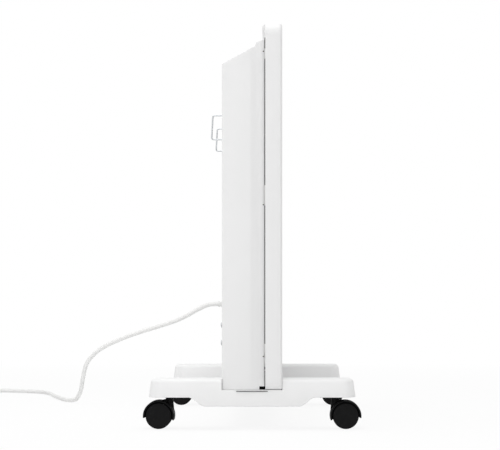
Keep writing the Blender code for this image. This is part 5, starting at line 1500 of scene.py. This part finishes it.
def thermostat_knob():
    """A fluted skirt and a straight grip with a pointer."""
    low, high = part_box("thermostat_knob")
    radius = (high.z - low.z) / 2
    plate_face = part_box("control_plate")[1].x
    start, skirt = plate_face + KNOB_GAP - low.x, plate_face + KNOB_SKIRT - low.x
    profile = [(0, skirt)] + rounded_rim(radius, skirt, KNOB_EDGE, 5)
    profile += [(radius, start), (SPINDLE_RADIUS, start), (SPINDLE_RADIUS, 0), (0, 0)]
    flutes = bmesh.new()
    for i in range(FLUTES):
        angle = 2 * pi * i / FLUTES
        x, y = (radius + FLUTE_OUT) * cos(angle), (radius + FLUTE_OUT) * sin(angle)
        add_rod(flutes, (x, y, start - 0.001), (x, y, skirt - 0.0012), FLUTE_RADIUS, 12)
    outline = rounded_rectangle(2 * (radius - GRIP_INSET), GRIP_WIDTH, GRIP_CORNER, steps=10)
    grip = soften(drawn_out(outline, "Z", skirt - 0.001, high.x - low.x), KNOB_EDGE, 60, 4)
    whole = joined(cut(turned(profile, 96), flutes), grip)
    return placed(whole, (low.x, *centre("thermostat_knob").yz), pi / 2, "Y")


piece("knob", thermostat_knob(), white_abs, "white_moulded_plastic", "knob", "thermostat_knob")

# Black gloss ABS, moulded: the rockers' polished face
gloss_abs = surface(
    "polished_black_abs", "#161617", "#111112", 0.01, (0.18, 0.26), 0.002, 0.00001, IOR=1.54
)
# Paint, pad-printed in white on the rockers and in grey on the plate and the knob
white_print = surface("white_print", "#e6e6e6", "#dddddd", 0.004, (0.5, 0.6), 0.0008, 0.000005)
grey_print = surface("grey_print", "#77797b", "#6e7072", 0.004, (0.5, 0.6), 0.0008, 0.000005)
ROCKER_HALF_LENGTH = 0.0079
ROCKER_END = 0.0030
ROCKER_DIP = 0.0012
ROCKER_ROOT = 0.0020
ROCKER_TILT = radians(7)
ROCKER_HALF_WIDTH = 0.0052
MARK_SHARE = 0.55
MARK_LIFT = 0.00006
MARK_HALF_WIDTH = 0.0003
MARK_HALF_LENGTH = 0.0014
MARK_BACK = -0.0001
MARK_FACE = 0.00008
RING_OUTER = 0.0016
RING_INNER = 0.0012
ROCKER_EDGE = 0.0004
PRINT_ROOT = 0.0002
DIAL_LINE = (0.0007, 0.0009)
KNOB_LINE_DROP = 0.0034
KNOB_LINE_LENGTH = 0.0045
KNOB_LINE_HALF_WIDTH = 0.0004
KNOB_LINE_LIFT = 0.00004


def rocker_face(share):
    """How far the rocker's curved face stands out, from its middle at 0 to its ends at 1."""
    return ROCKER_DIP + (ROCKER_END - ROCKER_DIP) * share * share


def rocker(number):
    """A cap with a hollow face, and its line and circle, both tilted in the switch's frame."""
    face = [(rocker_face(i / 10), ROCKER_HALF_LENGTH * i / 10) for i in range(-10, 11)]
    outline = [(-ROCKER_ROOT, -ROCKER_HALF_LENGTH)] + face + [(-ROCKER_ROOT, ROCKER_HALF_LENGTH)]
    cap = drawn_out(outline, "Y", -ROCKER_HALF_WIDTH, ROCKER_HALF_WIDTH)
    soften(cap, ROCKER_EDGE, 40, 3)
    slope = 2 * (ROCKER_END - ROCKER_DIP) * MARK_SHARE / ROCKER_HALF_LENGTH
    out, up = rocker_face(MARK_SHARE) + MARK_LIFT, ROCKER_HALF_LENGTH * MARK_SHARE
    line = block(
        (MARK_BACK, -MARK_HALF_WIDTH, -MARK_HALF_LENGTH),
        (MARK_FACE, MARK_HALF_WIDTH, MARK_HALF_LENGTH),
    )
    section = [(RING_OUTER, MARK_FACE), (RING_OUTER, MARK_BACK)]
    section += [(RING_INNER, MARK_BACK), (RING_INNER, MARK_FACE)]
    ring = turned(section + section[:1], 40)
    placed(line, (out, 0, up), slope, "Y")
    placed(ring, (out, 0, -up), pi / 2 - slope, "Y")
    frame_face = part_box(f"switch_body_{number}")[1].x
    spot = (frame_face, centre(f"rocker_{number}").y, centre(f"switch_body_{number}").z)
    return [placed(bm, spot, ROCKER_TILT, "Y") for bm in (cap, joined(line, ring))]


for number, body in ((1, "upper_rocker"), (2, "lower_rocker")):
    cap, marks = rocker(number)
    piece(f"rocker_cap_{number}", cap, gloss_abs, "black_moulded_plastic", body, f"rocker_{number}")
    piece(f"rocker_marks_{number}", marks, white_print, "white_moulded_plastic", body)


def dial_marks():
    """A line at the top for off, and dots that grow clockwise to the highest setting."""
    y, z = centre("thermostat_knob").yz
    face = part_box("control_plate")[1].x
    back, front = face - PRINT_ROOT, face + MARK_LIFT
    below, above = DIAL_LINE
    bm = block(
        (back, y - MARK_HALF_WIDTH, z + DIAL_RADIUS - below),
        (front, y + MARK_HALF_WIDTH, z + DIAL_RADIUS + above),
    )
    for i in range(1, DOTS):
        angle = pi / 2 - KNOB_SWEEP * i / (DOTS - 1)
        across, up = y + DIAL_RADIUS * cos(angle), z + DIAL_RADIUS * sin(angle)
        radius = DOT_RADIUS * (0.4 + 0.6 * i / (DOTS - 1))
        add_rod(bm, (back, across, up), (front, across, up), radius, 16)
    return bm


def knob_line():
    """A line at the top end of the grip, which points at the setting."""
    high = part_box("thermostat_knob")[1]
    y, top = centre("thermostat_knob").y, high.z - KNOB_LINE_DROP
    return block(
        (high.x - PRINT_ROOT, y - KNOB_LINE_HALF_WIDTH, top - KNOB_LINE_LENGTH),
        (high.x + KNOB_LINE_LIFT, y + KNOB_LINE_HALF_WIDTH, top),
    )


piece("dial_marks", dial_marks(), grey_print, "white_moulded_plastic", "heater")
piece("knob_line", knob_line(), grey_print, "white_moulded_plastic", "knob")


# What is inside
# Folded galvanised brackets and a heat shield, the extruded aluminium element between them, and the
# moulded thermostat, cut-out, terminal block and switches. They show through the grille and slots.

def spangled_zinc():
    """Hot-dip galvanised sheet: grey, with the crystals of the zinc in slightly different greys."""
    material = surface(
        "hot_dip_zinc", "#b4b8bb", "#9da1a5", 0.03, (0.34, 0.5), 0.004, 0.00002, Metallic=1.0
    )
    tree = material.node_tree
    place = node(tree, "TexCoord").outputs["Object"]
    crystals = node(tree, "TexVoronoi", {"Vector": place, "Scale": 1 / 0.008}).outputs["Color"]
    tone = node(tree, "SeparateColor", {"Color": crystals}).outputs[0]
    tones = {0: tone, 6: colour("#b9bdc0"), 7: colour("#a2a6aa")}
    tint = node(tree, "Mix", tones, data_type="RGBA")
    tree.links.new(tint.outputs[2], tree.nodes["Principled BSDF"].inputs["Base Color"])
    return material


def drawn_aluminium():
    """Extruded aluminium: pale, with fine die lines along its length."""
    material = surface(
        "extruded_aluminium", "#c9ccce", "#bcc0c3", 0.02, (0.35, 0.45), 0.001, 0.00001, Metallic=1.0
    )
    tree = material.node_tree
    place = node(tree, "TexCoord").outputs["Object"]
    drawn = node(tree, "Mapping", {"Vector": place, "Scale": (0.02, 1, 1)}).outputs[0]
    lines = node(tree, "TexNoise", {"Vector": drawn, "Scale": 1 / 0.0008, "Detail": 2}).outputs[0]
    bump = node(tree, "Bump", {"Height": lines, "Strength": 1, "Distance": 0.00003}).outputs[0]
    tree.links.new(bump, tree.nodes["Principled BSDF"].inputs["Normal"])
    return material


# Thermosetting plastic, pressed: cream, dense and slightly mottled
cream_resin = surface(
    "pressed_cream_resin", "#dcd4bf", "#cfc6ae", 0.006, (0.4, 0.5), 0.001, 0.00004
)
# Silicone sheath: soft brown
brown_silicone = surface("brown_silicone", "#5a3a26", "#4c3020", 0.01, (0.55, 0.65), 0.001, 0.00003)
zinc_sheet = spangled_zinc()
aluminium = drawn_aluminium()
INSIDE = {
    zinc_sheet: (
        "bottom_plate", "element_bracket_left", "control_chassis", "heat_shield",
        "loop_bracket_left", "loop_bracket_right",
    ),
    aluminium: ("heating_element",),
    cream_resin: ("thermal_cutout", "terminal_block", "thermostat_body"),
    brown_silicone: ("wire_supply", "wire_element"),
    black_nylon: ("tilt_switch",),
    gloss_abs: ("switch_body_1", "switch_body_2"),
    white_nylon: ("gland_nut",),
}
for finish, names in INSIDE.items():
    for name in names:
        nodes[name].material_slots[0].material = finish
